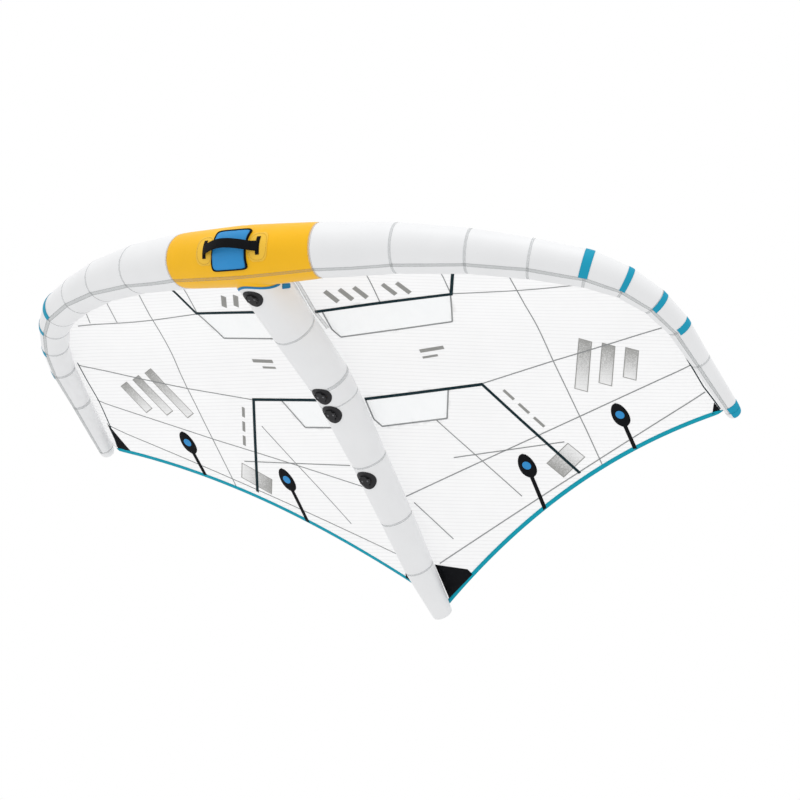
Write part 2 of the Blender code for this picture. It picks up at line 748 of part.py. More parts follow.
def block(name, centre, facing, width, length, depth, finish=None, sides=0, bevel=0.0):
    """A box, or an oval bar, whose length runs along the strut and whose depth points down."""
    bm = bmesh.new()
    if sides:
        bmesh.ops.create_cone(bm, cap_ends=True, segments=sides, radius1=0.5, radius2=0.5, depth=1)
    else:
        bmesh.ops.create_cube(bm, size=1)
    bmesh.ops.scale(bm, vec=(width, length, depth), verts=bm.verts)
    if bevel:
        upright = [e for e in bm.edges if abs((e.verts[0].co - e.verts[1].co).z) > depth / 2]
        bmesh.ops.bevel(bm, geom=upright, offset=bevel, segments=3, affect="EDGES")
    turn = Matrix((Vector((1, 0, 0)), facing, Vector((1, 0, 0)).cross(facing))).transposed()
    bmesh.ops.transform(bm, matrix=Matrix.Translation(centre) @ turn.to_4x4(), verts=bm.verts)
    return finish_mesh(name, bm, finish)


def build_fittings():
    """Moulded pads that wrap the strut, each with a flat boss and two screw pockets."""
    stops = list(range(STRUT_LAST + 1))
    outside = tube_solid("fitting_outer_skin", STRUT, stops, FITTING_SKIN + SEAM_GAP)
    strut_skin = tube_solid("strut_outer_skin", STRUT, stops, SEAM_GAP)
    for number, (centre, radius, facing, down) in enumerate(fitting_frames(), 1):
        depth = radius + FITTING_BOSS_RISE
        middle = centre + down * depth / 2
        fitting = block(f"strut_fitting_{number}", middle, facing, 2 * FITTING_HALF_WIDTH,
                        2 * FITTING_HALF_LENGTH, depth, "black_plastic", FITTING_SIDES)
        cut(fitting, outside, "INTERSECT")
        boss = block(f"fitting_boss_{number}", middle, facing, FITTING_BOSS_WIDTH,
                     FITTING_BOSS_LENGTH, depth, None, 0, FITTING_BOSS_WIDTH / 4)
        cut(fitting, boss, "UNION")
        cut(fitting, strut_skin)
        for sign in (1, -1):
            spot = centre + down * depth + Vector((sign * SCREW_SPACING / 2, 0, 0))
            cut(fitting, cylinder(f"screw_pocket_{number}_{sign}", spot, down,
                                  SCREW_POCKET_RADIUS, 2 * SCREW_POCKET_DEPTH, None, 12))


# Leading edge handle: pad, binding, patches, strap and its sewn ends
def sleeve_point(x, angle, lift):
    """A point over the centre sleeve, by distance from the middle and angle round the tube."""
    position = LE_MIDDLE + x / (LE_SPAN_SHARES[1] * HALF_SPAN)
    return LE.surface(position, angle, lift)


def sleeve_stops(angle_span):
    """Angles from the handle's middle: both ends and each corner or middle of a facet between."""
    half_span = angle_span / 2
    count = math.ceil(half_span / SLEEVE_STEP) - 1
    return [-half_span] + [k * SLEEVE_STEP for k in range(-count, count + 1)] + [half_span]


def sleeve_piece(name, half_length, angle_span, middle_x, lift, thickness, columns, finish):
    """A piece lying round the sleeve, whose half length varies with the angle."""
    sections = []
    for offset in sleeve_stops(angle_span):
        angle = HANDLE_ANGLE + offset
        reach = half_length(2 * offset / angle_span)
        stops = [middle_x + (2 * k / columns - 1) * reach for k in range(columns + 1)]
        low = [sleeve_point(x, angle, lift) for x in stops]
        high = [sleeve_point(x, angle, lift + thickness) for x in reversed(stops)]
        sections.append(low + high)
    return finish_mesh(name, loft(bmesh.new(), sections, ladder=True), finish)


def pad_half_length(across):
    return PAD_HALF_LENGTH - PAD_WAIST * (1 - across * across)


def tape_half_length(across):
    return END_TAPE_WIDTH / 2


def patch_half_length(across):
    return PATCH_HALF_LENGTH * math.sqrt(1 - 0.8 * across ** 4)


def build_handle():
    seat = 2 * SEAM_GAP + PATCH_THICKNESS
    turn = handle_turn()
    for side, sign in (("right", 1), ("left", -1)):
        sleeve_piece(f"handle_patch_{side}", patch_half_length, PATCH_ANGLE,
                     sign * PATCH_CENTRE, SEAM_GAP, PATCH_THICKNESS, 2, "yellow_fabric")
        end = sleeve_piece(f"handle_strap_end_{side}", tape_half_length, END_TAPE_ANGLE,
                           sign * (STRAP_HALF_LENGTH + STRAP_FOOT), seat, END_TAPE_THICKNESS, 1,
                           "black_webbing")
        foot = strap_foot(f"strap_foot_{side}", sign, turn, seat + END_TAPE_THICKNESS)
        cut(end, foot, "UNION")
    sleeve_piece("handle_pad", pad_half_length, PAD_ANGLE, 0, SEAM_GAP, PAD_THICKNESS, 2,
                 "blue_fabric")
    build_pad_binding(SEAM_GAP)
    build_strap(turn)


def build_pad_binding(seat):
    """Folded tape round the pad, made as a closed loop of small square sections."""
    climb = [2 * offset / PAD_ANGLE for offset in sleeve_stops(PAD_ANGLE)]
    loop = [(across, 1) for across in climb] + [(1, 0)]
    loop += [(across, -1) for across in reversed(climb)] + [(-1, 0)]
    radius = LE_RADIUS
    edge_angle = BINDING_WIDTH / radius
    gap_angle = SEAM_GAP / radius
    sections = []
    for across, sign in loop:
        angle = HANDLE_ANGLE + across * PAD_ANGLE / 2
        end = 1 if across > 0.999 else -1 if across < -0.999 else 0
        inner_x = sign * (pad_half_length(across) + SEAM_GAP)
        outer_x = sign * (pad_half_length(across) + SEAM_GAP + BINDING_WIDTH)
        inner_angle = angle + end * gap_angle
        outer_angle = angle + end * (gap_angle + edge_angle)
        sections.append([sleeve_point(inner_x, inner_angle, seat),
                         sleeve_point(outer_x, outer_angle, seat),
                         sleeve_point(outer_x, outer_angle, seat + BINDING_THICKNESS),
                         sleeve_point(inner_x, inner_angle, seat + BINDING_THICKNESS)])
    finish_mesh("handle_pad_binding", loft(bmesh.new(), sections, closed=True), "black_webbing")


def handle_turn():
    """Axes of the handle: X along the tube, Y out of its skin, Z round it."""
    side, upright = LE.place(LE_MIDDLE)[2:]
    out = math.cos(HANDLE_ANGLE) * side + math.sin(HANDLE_ANGLE) * upright
    along = Vector((1, 0, 0))
    return Matrix((along, out, along.cross(out))).transposed()


def strap_foot(name, sign, turn, seat):
    """The sewn end of the strap, rising from its tape to the hinge line."""
    out = turn @ Vector((0, 1, 0))
    across = turn @ Vector((0, 0, 1))
    centre = LE.centres[LE_MIDDLE]
    start = sign * (STRAP_HALF_LENGTH + SEAM_GAP)
    end = sign * (STRAP_HALF_LENGTH + STRAP_FOOT)
    low = (sleeve_point(end, HANDLE_ANGLE, seat) - centre).dot(out)
    high = LE_RADIUS + STRAP_END_HEIGHT
    half = STRAP_THICKNESS / 2
    profile = [(start, high + half), (start, high - half),
               (end - sign * STRAP_THICKNESS, low), (end, low)]
    sections = []
    for edge in (-STRAP_WIDTH / 2, STRAP_WIDTH / 2):
        sections.append([centre + Vector((x, 0, 0)) + out * y + across * edge
                         for x, y in profile])
    return finish_mesh(name, loft(bmesh.new(), sections))


def build_strap(turn):
    """The grab strap, which swings on the line through its two feet."""
    out = turn @ Vector((0, 1, 0))
    hinge = LE.centres[LE_MIDDLE] + out * (LE_RADIUS + STRAP_END_HEIGHT)
    top, bottom = [], []
    for k in range(STRAP_POINTS + 1):
        share = 2 * k / STRAP_POINTS - 1
        height = STRAP_ARCH * math.cos(share * math.pi / 2)
        top.append((share * STRAP_HALF_LENGTH, height + STRAP_THICKNESS / 2))
        bottom.append((share * STRAP_HALF_LENGTH, height - STRAP_THICKNESS / 2))
    flat_outline("handle_strap", top + bottom[::-1], STRAP_WIDTH, "black_webbing", hinge, turn)


# Bladder opening: bound edge of the sleeve on the strut's nose, and its pull tab
def band_back(angle):
    """Distance back from the nose of the binding's front edge, at an angle round the strut."""
    height = STRUT_RADIUS * math.sin(angle) - STRUT_NOSE_BELOW
    return math.sqrt((LE_RADIUS + OPENING_BAND_BACK) ** 2 - height ** 2)


def build_opening():
    """A blue band round the underside of the strut, close behind the leading edge."""
    step = math.tau / TUBE_SIDES
    sections = []
    for number in range(-OPENING_BAND_SIDES, OPENING_BAND_SIDES + 1):
        angle = math.radians(-90) + step * number
        start = strut_position(band_back(angle))
        end = strut_position(band_back(angle) + OPENING_BAND_WIDTH)
        sections.append([STRUT.surface(start, angle, SEAM_GAP),
                         STRUT.surface(end, angle, SEAM_GAP),
                         STRUT.surface(end, angle, SEAM_GAP + OPENING_BAND_THICKNESS),
                         STRUT.surface(start, angle, SEAM_GAP + OPENING_BAND_THICKNESS)])
    finish_mesh("opening_binding", loft(bmesh.new(), sections), "blue_fabric")
    build_tab()


def build_tab():
    """A webbing tab that points up round the strut's side from the end of the binding."""
    start = band_back(TAB_SIDE_ANGLE) + OPENING_BAND_WIDTH + TAB_FRONT_GAP
    back = start + TAB_WIDTH / 2 * math.cos(TAB_TURN)
    centre, radius, side, upright = STRUT.place(strut_position(back))
    out = math.cos(TAB_SIDE_ANGLE) * side + math.sin(TAB_SIDE_ANGLE) * upright
    flat = radius * math.cos(math.pi / TUBE_SIDES)
    facing = (STRUT.centres[1] - STRUT.centres[0]).normalized()
    facing = (facing - out * facing.dot(out)).normalized()
    climb = out.cross(facing)
    if climb.z < 0:
        climb = -climb
    along = climb * math.cos(TAB_TURN) + facing * math.sin(TAB_TURN)
    bm = bmesh.new()
    bmesh.ops.create_cube(bm, size=1)
    bmesh.ops.scale(bm, vec=(TAB_THICKNESS, TAB_LENGTH, TAB_WIDTH), verts=bm.verts)
    bmesh.ops.translate(bm, vec=(0, TAB_LENGTH / 2, 0), verts=bm.verts)
    ends = [e for e in bm.edges if all(v.co.y > TAB_LENGTH / 2 for v in e.verts)
            and abs(e.verts[0].co.x - e.verts[1].co.x) > TAB_THICKNESS / 2]
    bmesh.ops.bevel(bm, geom=ends, offset=TAB_WIDTH / 5, segments=3, affect="EDGES")
    tab = finish_mesh("opening_pull_tab", bm, "blue_fabric")
    tab.location = centre + out * (flat + TAB_LIFT)
    tab.rotation_euler = Matrix((out, along, out.cross(along))).transposed().to_euler()


# Inflation valve and the hose that joins the bladders
def valve_frame():
    """The middle of the valve on the bladder, and its axis out through the panel."""
    position = LE_MIDDLE + 1 + VALVE_SHARE
    centre, radius, side, upright = LE.place(position)
    return centre, radius, side


def turned(name, profile, centre, axis, finish):
    """A turned shape: a profile of radius and height, spun round the axis."""
    mesh = bpy.data.meshes.new(name)
    corners = [(radius, 0, height) for radius, height in profile]
    mesh.from_pydata(corners, [(k, k + 1) for k in range(len(corners) - 1)], [])
    item = link(name, mesh, finish)
    spin = item.modifiers.new("spin", "SCREW")
    spin.steps = 32
    spin.render_steps = 32
    spin.use_merge_vertices = True
    spin.merge_threshold = MERGE_DISTANCE
    item.location = centre
    item.rotation_euler = axis.to_track_quat("Z", "Y").to_euler()
    return item


def build_valve():
    centre, radius, axis = valve_frame()
    base = radius - BLADDER_INSET + SEAM_GAP
    ring_low = radius + VALVE_SEAT
    ring_top = ring_low + VALVE_RING_HEIGHT
    floor = ring_top - VALVE_BORE_DEPTH
    profile = [(0, floor), (VALVE_BORE_RADIUS, floor), (VALVE_BORE_RADIUS, ring_top),
               (VALVE_RING_RADIUS - VALVE_RING_HEIGHT / 3, ring_top),
               (VALVE_RING_RADIUS, ring_top - VALVE_RING_HEIGHT / 3),
               (VALVE_RING_RADIUS, ring_low), (VALVE_NECK_RADIUS, ring_low),
               (VALVE_NECK_RADIUS, base), (0, base)]
    turned("valve_body", profile, centre, axis, "black_plastic")
    low = ring_top + SEAM_GAP
    stem = VALVE_BORE_RADIUS - 2 * HOLE_CLEARANCE
    profile = [(0, low + CAP_HEIGHT), (CAP_RADIUS - CAP_RIB_DEPTH, low + CAP_HEIGHT),
               (CAP_RADIUS, low + CAP_HEIGHT - CAP_RIB_DEPTH), (CAP_RADIUS, low),
               (stem, low), (stem, floor + SEAM_GAP), (0, floor + SEAM_GAP)]
    cap = turned("valve_cap", profile, centre, axis, "black_plastic")
    for number in range(CAP_RIBS):
        angle = math.tau * number / CAP_RIBS
        groove = cylinder(f"cap_groove_{number}", Vector((0, 0, low + CAP_HEIGHT / 2)), UP,
                          CAP_RIB_DEPTH, CAP_HEIGHT, None, 6)
        shift = Vector((math.cos(angle), math.sin(angle), 0)) * (CAP_RADIUS + CAP_RIB_DEPTH / 4)
        groove.matrix_world = (Matrix.Translation(centre)
                               @ axis.to_track_quat("Z", "Y").to_matrix().to_4x4()
                               @ Matrix.Translation(shift))
        cut(cap, groove)


def build_hose():
    """A short hose from the leading edge bladder into the strut bladder."""
    bm = bmesh.new()
    height = NOSE.z - STRUT_NOSE_BELOW
    start = NOSE.y + math.sqrt(LE_RADIUS ** 2 - STRUT_NOSE_BELOW ** 2) - HOSE_INSERT
    sections = []
    ends = (start, start + 2 * HOSE_INSERT)
    for radius, order in ((HOSE_RADIUS, ends), (HOSE_BORE_RADIUS, ends[::-1])):
        for y in order:
            turns = [math.tau * k / 16 for k in range(16)]
            sections.append([Vector((radius * math.cos(a), y, height + radius * math.sin(a)))
                             for a in turns])
    finish_mesh("one_pump_hose", loft(bm, sections, closed=True), "bladder_film")


VALVE_CENTRE, VALVE_TUBE_RADIUS, VALVE_AXIS = valve_frame()
VALVE_HOLE = cylinder("valve_hole", VALVE_CENTRE + VALVE_AXIS * VALVE_TUBE_RADIUS, VALVE_AXIS,
                      VALVE_NECK_RADIUS + HOLE_CLEARANCE, LE_RADIUS / 2)
HOSE_MIDDLE = NOSE + Vector((0, math.sqrt(LE_RADIUS ** 2 - STRUT_NOSE_BELOW ** 2),
                             -STRUT_NOSE_BELOW))
HOSE_HOLE = cylinder("hose_hole", HOSE_MIDDLE, Vector((0, 1, 0)), HOSE_RADIUS + HOLE_CLEARANCE,
                     2 * HOSE_INSERT, None, 16)
HOSE_SOCKET = cylinder("hose_socket", HOSE_MIDDLE, Vector((0, 1, 0)),
                       HOSE_RADIUS + HOLE_CLEARANCE, 2 * (HOSE_INSERT + SEAM_GAP), None, 16)
NOSE_COPE = tube_solid("nose_cope", LE, range(LE_MIDDLE - 2, LE_MIDDLE + 3), SEAM_GAP)

build_leading_edge()
build_strut()
build_canopy()
build_fittings()
build_handle()
build_opening()
build_valve()
build_hose()
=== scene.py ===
import math

import bpy
from mathutils import Matrix, Vector
from mathutils.bvhtree import BVHTree


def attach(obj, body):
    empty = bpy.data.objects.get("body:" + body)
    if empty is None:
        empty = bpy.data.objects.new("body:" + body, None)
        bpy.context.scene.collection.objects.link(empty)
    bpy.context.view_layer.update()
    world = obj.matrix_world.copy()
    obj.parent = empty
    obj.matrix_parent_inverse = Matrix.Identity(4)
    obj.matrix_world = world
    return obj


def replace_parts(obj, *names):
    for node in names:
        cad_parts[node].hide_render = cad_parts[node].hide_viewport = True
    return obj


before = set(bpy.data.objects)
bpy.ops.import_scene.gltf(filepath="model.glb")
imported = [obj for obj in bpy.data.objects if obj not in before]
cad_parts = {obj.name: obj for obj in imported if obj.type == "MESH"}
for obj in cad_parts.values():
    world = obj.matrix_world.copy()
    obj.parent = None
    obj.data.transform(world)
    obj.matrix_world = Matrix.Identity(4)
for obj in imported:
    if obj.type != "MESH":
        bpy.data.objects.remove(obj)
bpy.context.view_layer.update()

bpy.ops.object.select_all(action="DESELECT")

CAMERA_PLACE = (19.119, -16.4967, -18.9369)
CAMERA_TURN = Matrix(((0.7974615, 0.0524751, 0.6010836),
                      (0.4436985, -0.7261026, -0.5252683),
                      (0.4088848, 0.6855811, -0.6023220)))
LENS_LENGTH, SENSOR_WIDTH = 360, 36
NEAREST, FURTHEST = 1, 200
SKY_STRENGTH, BACKDROP_STRENGTH = 0.91, 1.0
WHITE = (1, 1, 1, 1)

bpy.ops.object.camera_add(location=CAMERA_PLACE)
camera = bpy.context.object
camera.rotation_euler = CAMERA_TURN.to_euler()
camera.data.lens = LENS_LENGTH
camera.data.sensor_width = SENSOR_WIDTH
camera.data.clip_start = NEAREST
camera.data.clip_end = FURTHEST
bpy.context.scene.camera = camera
bpy.context.scene.view_settings.view_transform = "Standard"

world = bpy.data.worlds.new("studio")
bpy.context.scene.world = world
world.use_nodes = True
nodes, links = world.node_tree.nodes, world.node_tree.links
nodes.clear()
ambient = nodes.new("ShaderNodeBackground")
ambient.inputs["Color"].default_value = WHITE
ambient.inputs["Strength"].default_value = SKY_STRENGTH
backdrop = nodes.new("ShaderNodeBackground")
backdrop.inputs["Color"].default_value = WHITE
backdrop.inputs["Strength"].default_value = BACKDROP_STRENGTH
ray = nodes.new("ShaderNodeLightPath")
seen = nodes.new("ShaderNodeMath")
seen.operation = "MAXIMUM"
seen_all = nodes.new("ShaderNodeMath")
seen_all.operation = "MAXIMUM"
mixed = nodes.new("ShaderNodeMixShader")
sky = nodes.new("ShaderNodeOutputWorld")
links.new(ray.outputs["Is Camera Ray"], seen.inputs[0])
links.new(ray.outputs["Is Glossy Ray"], seen.inputs[1])
links.new(seen.outputs[0], seen_all.inputs[0])
links.new(ray.outputs["Is Transmission Ray"], seen_all.inputs[1])
links.new(seen_all.outputs[0], mixed.inputs[0])
links.new(ambient.outputs[0], mixed.inputs[1])
links.new(backdrop.outputs[0], mixed.inputs[2])
links.new(mixed.outputs[0], sky.inputs["Surface"])


def lamp(name, towards, strength, angle):
    bpy.ops.object.light_add(type="SUN")
    sun = bpy.context.object
    sun.name = name
    sun.rotation_euler = Vector(towards).to_track_quat("-Z", "Y").to_euler()
    sun.data.energy = strength
    sun.data.angle = math.radians(angle)


lamp("light from above", towards=(-0.05, 0.73, -0.69), strength=0.75, angle=40)
lamp("light from the left", towards=(0.8, 0.45, 0.35), strength=0.25, angle=40)

# The floor: a pale studio floor just under the wing. It has one side only, so that the camera
# below it sees through it, and the wing above it throws a soft shadow on it.
FLOOR_SIZE, FLOOR_HEIGHT = 30, -0.2435
FLOOR_COLOUR, FLOOR_ROUGHNESS = (0.86, 0.86, 0.86, 1), 0.9
bpy.ops.mesh.primitive_plane_add(size=FLOOR_SIZE, location=(0, 0, FLOOR_HEIGHT))
floor = bpy.context.object
floor.name = "studio_floor"
floor.visible_diffuse = False
floor.visible_glossy = False
floor.visible_transmission = False
floor_paint = bpy.data.materials.new("floor_paint")
floor_paint.use_nodes = True
nodes, links = floor_paint.node_tree.nodes, floor_paint.node_tree.links
nodes["Principled BSDF"].inputs["Base Color"].default_value = FLOOR_COLOUR
nodes["Principled BSDF"].inputs["Roughness"].default_value = FLOOR_ROUGHNESS
clear = nodes.new("ShaderNodeBsdfTransparent")
side_seen = nodes.new("ShaderNodeNewGeometry")
floor_mix = nodes.new("ShaderNodeMixShader")
links.new(side_seen.outputs["Backfacing"], floor_mix.inputs[0])
links.new(nodes["Principled BSDF"].outputs[0], floor_mix.inputs[1])
links.new(clear.outputs[0], floor_mix.inputs[2])
links.new(floor_mix.outputs[0], nodes["Material Output"].inputs["Surface"])
floor.data.materials.append(floor_paint)

# Leading edge: an air tube of coated cloth, cut in tapering panels and sewn ring by ring over a
# bladder. The middle sleeve is yellow and the rest white, and every ring seam pulls in a little.
# Each row holds a ring seam's place and the tube's radius, from the middle to the right tip.
RING_SEAMS = [
    (0.0000, -0.8377, -0.0724, 0.1210), (0.3332, -0.8205, -0.0512, 0.1093),
    (0.6358, -0.7548, 0.0042, 0.0997), (0.9035, -0.6628, 0.0617, 0.0879),
    (1.1191, -0.5608, 0.1090, 0.0802), (1.3073, -0.4516, 0.1527, 0.0745),
    (1.4149, -0.3501, 0.1759, 0.0640), (1.4882, -0.2345, 0.1870, 0.0560),
    (1.5288, -0.1011, 0.1907, 0.0490), (1.5413, 0.0782, 0.1870, 0.0401),
    (1.5600, 0.3343, 0.1821, 0.0310)]
MIDDLE = len(RING_SEAMS) - 1
TIP = 2 * MIDDLE
TUBE_SIDES = 64
UP = Vector((0, 0, 1))
# A panel swells by a share of the tube's radius, and its seams pull it in within a short reach.
SWELL, PULL, PULL_REACH = 0.005, 0.02, 0.015
# Rings of corners stand at these distances from each seam.
NEAR_SEAM = (0, 0.004, 0.01, 0.02, 0.04)
# Sizes that give the weave of tubes, and of patches on them, its scale.
TUBE_GIRTH, PATCH_RADIUS, PATCH_PANEL = 0.6, 0.1, 0.3
CLOUD_SCALE, CREASE_SCALE = 9, 5
THREAD_DEPTH, CREASE_DEPTH = 0.0002, 0.006
BLADDER_INSET = 0.004
MERGE_DISTANCE = 0.00002


class Tube:
    """A sewn tube that runs through ring seams, each with a centre and a radius."""

    def __init__(self, seams):
        self.centres = [Vector(seam[:3]) for seam in seams]
        self.radii = [seam[3] for seam in seams]
        runs = [(b - a).normalized() for a, b in zip(self.centres, self.centres[1:])]
        middles = [(a + b).normalized() for a, b in zip(runs, runs[1:])]
        self.facing = [runs[0]] + middles + [runs[-1]]

    def length(self, k):
        return (self.centres[k + 1] - self.centres[k]).length

    def ring(self, k, angle):
        """A point on seam k: angle 0 is the side of the tube, a quarter turn is its top."""
        side = UP.cross(self.facing[k]).normalized()
        upright = self.facing[k].cross(side)
        way = math.cos(angle) * side + math.sin(angle) * upright
        return self.centres[k] + self.radii[k] * way

    def skin(self, t, angle, lift=0.0, swell=True):
        """A point on the skin at seam number t, which may be a fraction, or lifted off it."""
        k = max(0, min(int(t), len(self.centres) - 2))
        share = t - k
        centre = self.centres[k].lerp(self.centres[k + 1], share)
        point = self.ring(k, angle).lerp(self.ring(k + 1, angle), share)
        out = (point - centre).normalized()
        radius = self.radii[k] * (1 - share) + self.radii[k + 1] * share
        nearest = min(abs(share), abs(1 - share)) * self.length(k)
        rise = radius * (SWELL - PULL * math.exp(-nearest / PULL_REACH)) if swell else 0
        return point + out * (lift + rise)


mirrored_seams = [(-x, y, z, r) for x, y, z, r in RING_SEAMS[:0:-1]]
leading_edge = Tube(mirrored_seams + RING_SEAMS)


def stops_along(tube, first, last):
    """Places for rings of corners along a tube, close together near each ring seam."""
    stops = []
    for k in range(first, last):
        length = tube.length(k)
        near = [distance / length for distance in NEAR_SEAM]
        stops += [k + share for share in near] + [k + 0.5]
        stops += [k + 1 - share for share in near[:0:-1]]
    return stops + [last]


def pick(piece):
    """Select one piece alone and make it active."""
    bpy.ops.object.select_all(action="DESELECT")
    bpy.context.view_layer.objects.active = piece
    piece.select_set(True)


def grid_piece(name, across, along, place, size=(1, 1)):
    """A grid moved into shape: place gives the point for its shares across and along. The size
    of the cloth gives the weave its scale."""
    bpy.ops.object.select_all(action="DESELECT")
    bpy.ops.mesh.primitive_grid_add(x_subdivisions=across, y_subdivisions=along, size=1)
    piece = bpy.context.object
    piece.name = piece.data.name = name
    for corner in piece.data.vertices:
        column = round((corner.co.x + 0.5) * across)
        row = round((corner.co.y + 0.5) * along)
        corner.co = place(column / across, row / along)
    for loop in piece.data.uv_layers[0].data:
        loop.uv = (loop.uv.x * size[0], loop.uv.y * size[1])
    bpy.ops.object.mode_set(mode="EDIT")
    bpy.ops.mesh.select_all(action="SELECT")
    bpy.ops.mesh.remove_doubles(threshold=MERGE_DISTANCE)
    bpy.ops.mesh.normals_make_consistent(inside=False)
    bpy.ops.object.mode_set(mode="OBJECT")
    bpy.ops.object.shade_smooth()
    return piece


def close_ends(piece):
    """Fill the open rings at both ends of a tube."""
    pick(piece)
    bpy.ops.object.mode_set(mode="EDIT")
    bpy.ops.mesh.select_mode(type="EDGE")
    bpy.ops.mesh.select_all(action="DESELECT")
    bpy.ops.mesh.select_non_manifold(extend=False)
    bpy.ops.mesh.edge_face_add()
    bpy.ops.mesh.select_all(action="SELECT")
    bpy.ops.mesh.normals_make_consistent(inside=False)
    bpy.ops.mesh.select_mode(type="VERT")
    bpy.ops.object.mode_set(mode="OBJECT")
    return piece


def thicken(piece, thickness):
    """Give a sheet its thickness, half of it on each side."""
    wall = piece.modifiers.new("thickness", "SOLIDIFY")
    wall.thickness = thickness
    wall.offset = 0
    pick(piece)
    bpy.ops.object.modifier_apply(modifier=wall.name)
    return piece


def joined(name, made):
    """Join pieces of one kind into one object."""
    bpy.ops.object.select_all(action="DESELECT")
    for piece in made:
        piece.select_set(True)
    bpy.context.view_layer.objects.active = made[0]
    bpy.ops.object.join()
    piece = bpy.context.object
    piece.name = piece.data.name = name
    return piece


def tube_piece(name, tube, first, last, lift=0.0):
    """A length of tube between two ring seams."""
    stops = stops_along(tube, first, last)
    length = sum(tube.length(k) for k in range(first, last))

    def place(u, v):
        return tube.skin(stops[round(v * (len(stops) - 1))], math.tau * u, lift)

    return grid_piece(name, TUBE_SIDES, len(stops) - 1, place, (TUBE_GIRTH, length))


def wrap_piece(name, tube, start, end, low, high, lift, thickness, rows=4, columns=24):
    """A patch of cloth that lies on a tube between two places and two angles."""
    def place(u, v):
        return tube.skin(start + (end - start) * v, low + (high - low) * u, lift)

    size = ((high - low) * PATCH_RADIUS, (end - start) * PATCH_PANEL)
    return thicken(grid_piece(name, columns, rows, place, size), thickness)


class Finish:
    """A material in the making, with the nodes that give it its colour, gloss and relief."""

    def __init__(self, name, roughness=0.5, gloss=0.5):
        self.material = bpy.data.materials.new(name)
        self.material.use_nodes = True
        self.nodes, self.links = self.material.node_tree.nodes, self.material.node_tree.links
        self.shader = self.nodes["Principled BSDF"]
        self.place = self.nodes.new("ShaderNodeTexCoord").outputs
        self.surface("Roughness", roughness)
        self.surface("Specular IOR Level", gloss)

    def feed(self, socket, value):
        """Give a socket a number, a colour or another node's result."""
        if isinstance(value, bpy.types.NodeSocket):
            self.links.new(value, socket)
        else:
            socket.default_value = (*value, 1) if isinstance(value, tuple) else value

    def surface(self, name, value):
        """Set one of the surface's own values, or link it."""
        self.feed(self.shader.inputs[name], value)

    def node(self, kind, inputs, **settings):
        """A new node with its settings and inputs. What comes back is its outputs."""
        made = self.nodes.new("ShaderNode" + kind)
        for name, value in settings.items():
            setattr(made, name, value)
        for name, value in inputs.items():
            self.feed(made.inputs[name], value)
        return made.outputs

    def maths(self, operation, *values):
        """The result of a sum on results and numbers."""
        return self.node("Math", dict(enumerate(values)), operation=operation)[0]

    def mixed(self, factor, first, second):
        """A colour between two, by a factor between nought and one."""
        colours = {"A": first, "B": second, "Factor": factor}
        return self.node("Mix", colours, data_type="RGBA")["Result"]

    def noise(self, scale, detail=2, distortion=0):
        """Uneven clouds between nought and one."""
        return self.node("TexNoise", {"Vector": self.place["Object"], "Scale": scale,
                                      "Detail": detail, "Distortion": distortion})["Fac"]

    def wave(self, direction, scale, distortion=0):
        """Even lines across or along the cloth."""
        return self.node("TexWave", {"Vector": self.place["UV"], "Scale": scale,
                                     "Distortion": distortion}, bands_direction=direction)["Fac"]

    def spread(self, value, low, high, start=0, end=1):
        """The stretch of a value from start to end, spread out from low to high."""
        return self.node("MapRange", {"Value": value, "From Min": start, "From Max": end,
                                      "To Min": low, "To Max": high})["Result"]

    def relief(self, height, strength, depth, under=None):
        """Relief from a height, on top of another relief where there is one."""
        inputs = {"Height": height, "Strength": strength, "Distance": depth}
        if under is not None:
            inputs["Normal"] = under
        return self.node("Bump", inputs)["Normal"]


def cloth_finish(name, colour, roughness, weave=900, weave_depth=0.15, crease=0.25, mottle=0.03,
                 gloss=0.25):
    """Woven, coated cloth: threads, soft creases and a slightly uneven colour."""
    made = Finish(name, roughness, gloss)
    dark = tuple(value * (1 - mottle) for value in colour)
    light = tuple(min(value * (1 + mottle), 1) for value in colour)
    made.surface("Base Color", made.mixed(made.noise(CLOUD_SCALE, 3), dark, light))
    threads = made.maths("MAXIMUM", made.wave("X", weave), made.wave("Y", weave))
    woven = made.relief(threads, weave_depth, THREAD_DEPTH)
    folds = made.noise(CREASE_SCALE, 4, 1.2)
    made.surface("Normal", made.relief(folds, crease, CREASE_DEPTH, woven))
    return made


def finish_with(piece, finish, body="wing"):
    """Give a piece its material, and fix it to its body."""
    piece.data.materials.clear()
    piece.data.materials.append(finish.material)
    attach(piece, body)


white_cloth = cloth_finish("white_tube_cloth", (0.84, 0.845, 0.855), 0.42)
yellow_cloth = cloth_finish("yellow_tube_cloth", (0.93, 0.5, 0.006), 0.45, crease=0.35,
                            mottle=0.05)
bladder_film = cloth_finish("bladder_film", (0.72, 0.76, 0.8), 0.25, weave_depth=0.0, crease=0.5)

sleeve = tube_piece("leading_edge_sleeve", leading_edge, MIDDLE - 1, MIDDLE + 1)
finish_with(sleeve, yellow_cloth)
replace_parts(sleeve, "le_centre_sleeve")
for side, first, last in (("right", MIDDLE + 1, TIP), ("left", 0, MIDDLE - 1)):
    panels = tube_piece(f"leading_edge_panels_{side}", leading_edge, first, last)
    finish_with(panels, white_cloth)
    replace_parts(panels, *[f"le_panel_{side}_{number}" for number in range(1, 7)])
bladder = close_ends(tube_piece("leading_edge_bladder", leading_edge, 0, TIP, -BLADDER_INSET))
finish_with(bladder, bladder_film)
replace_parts(bladder, "le_bladder")

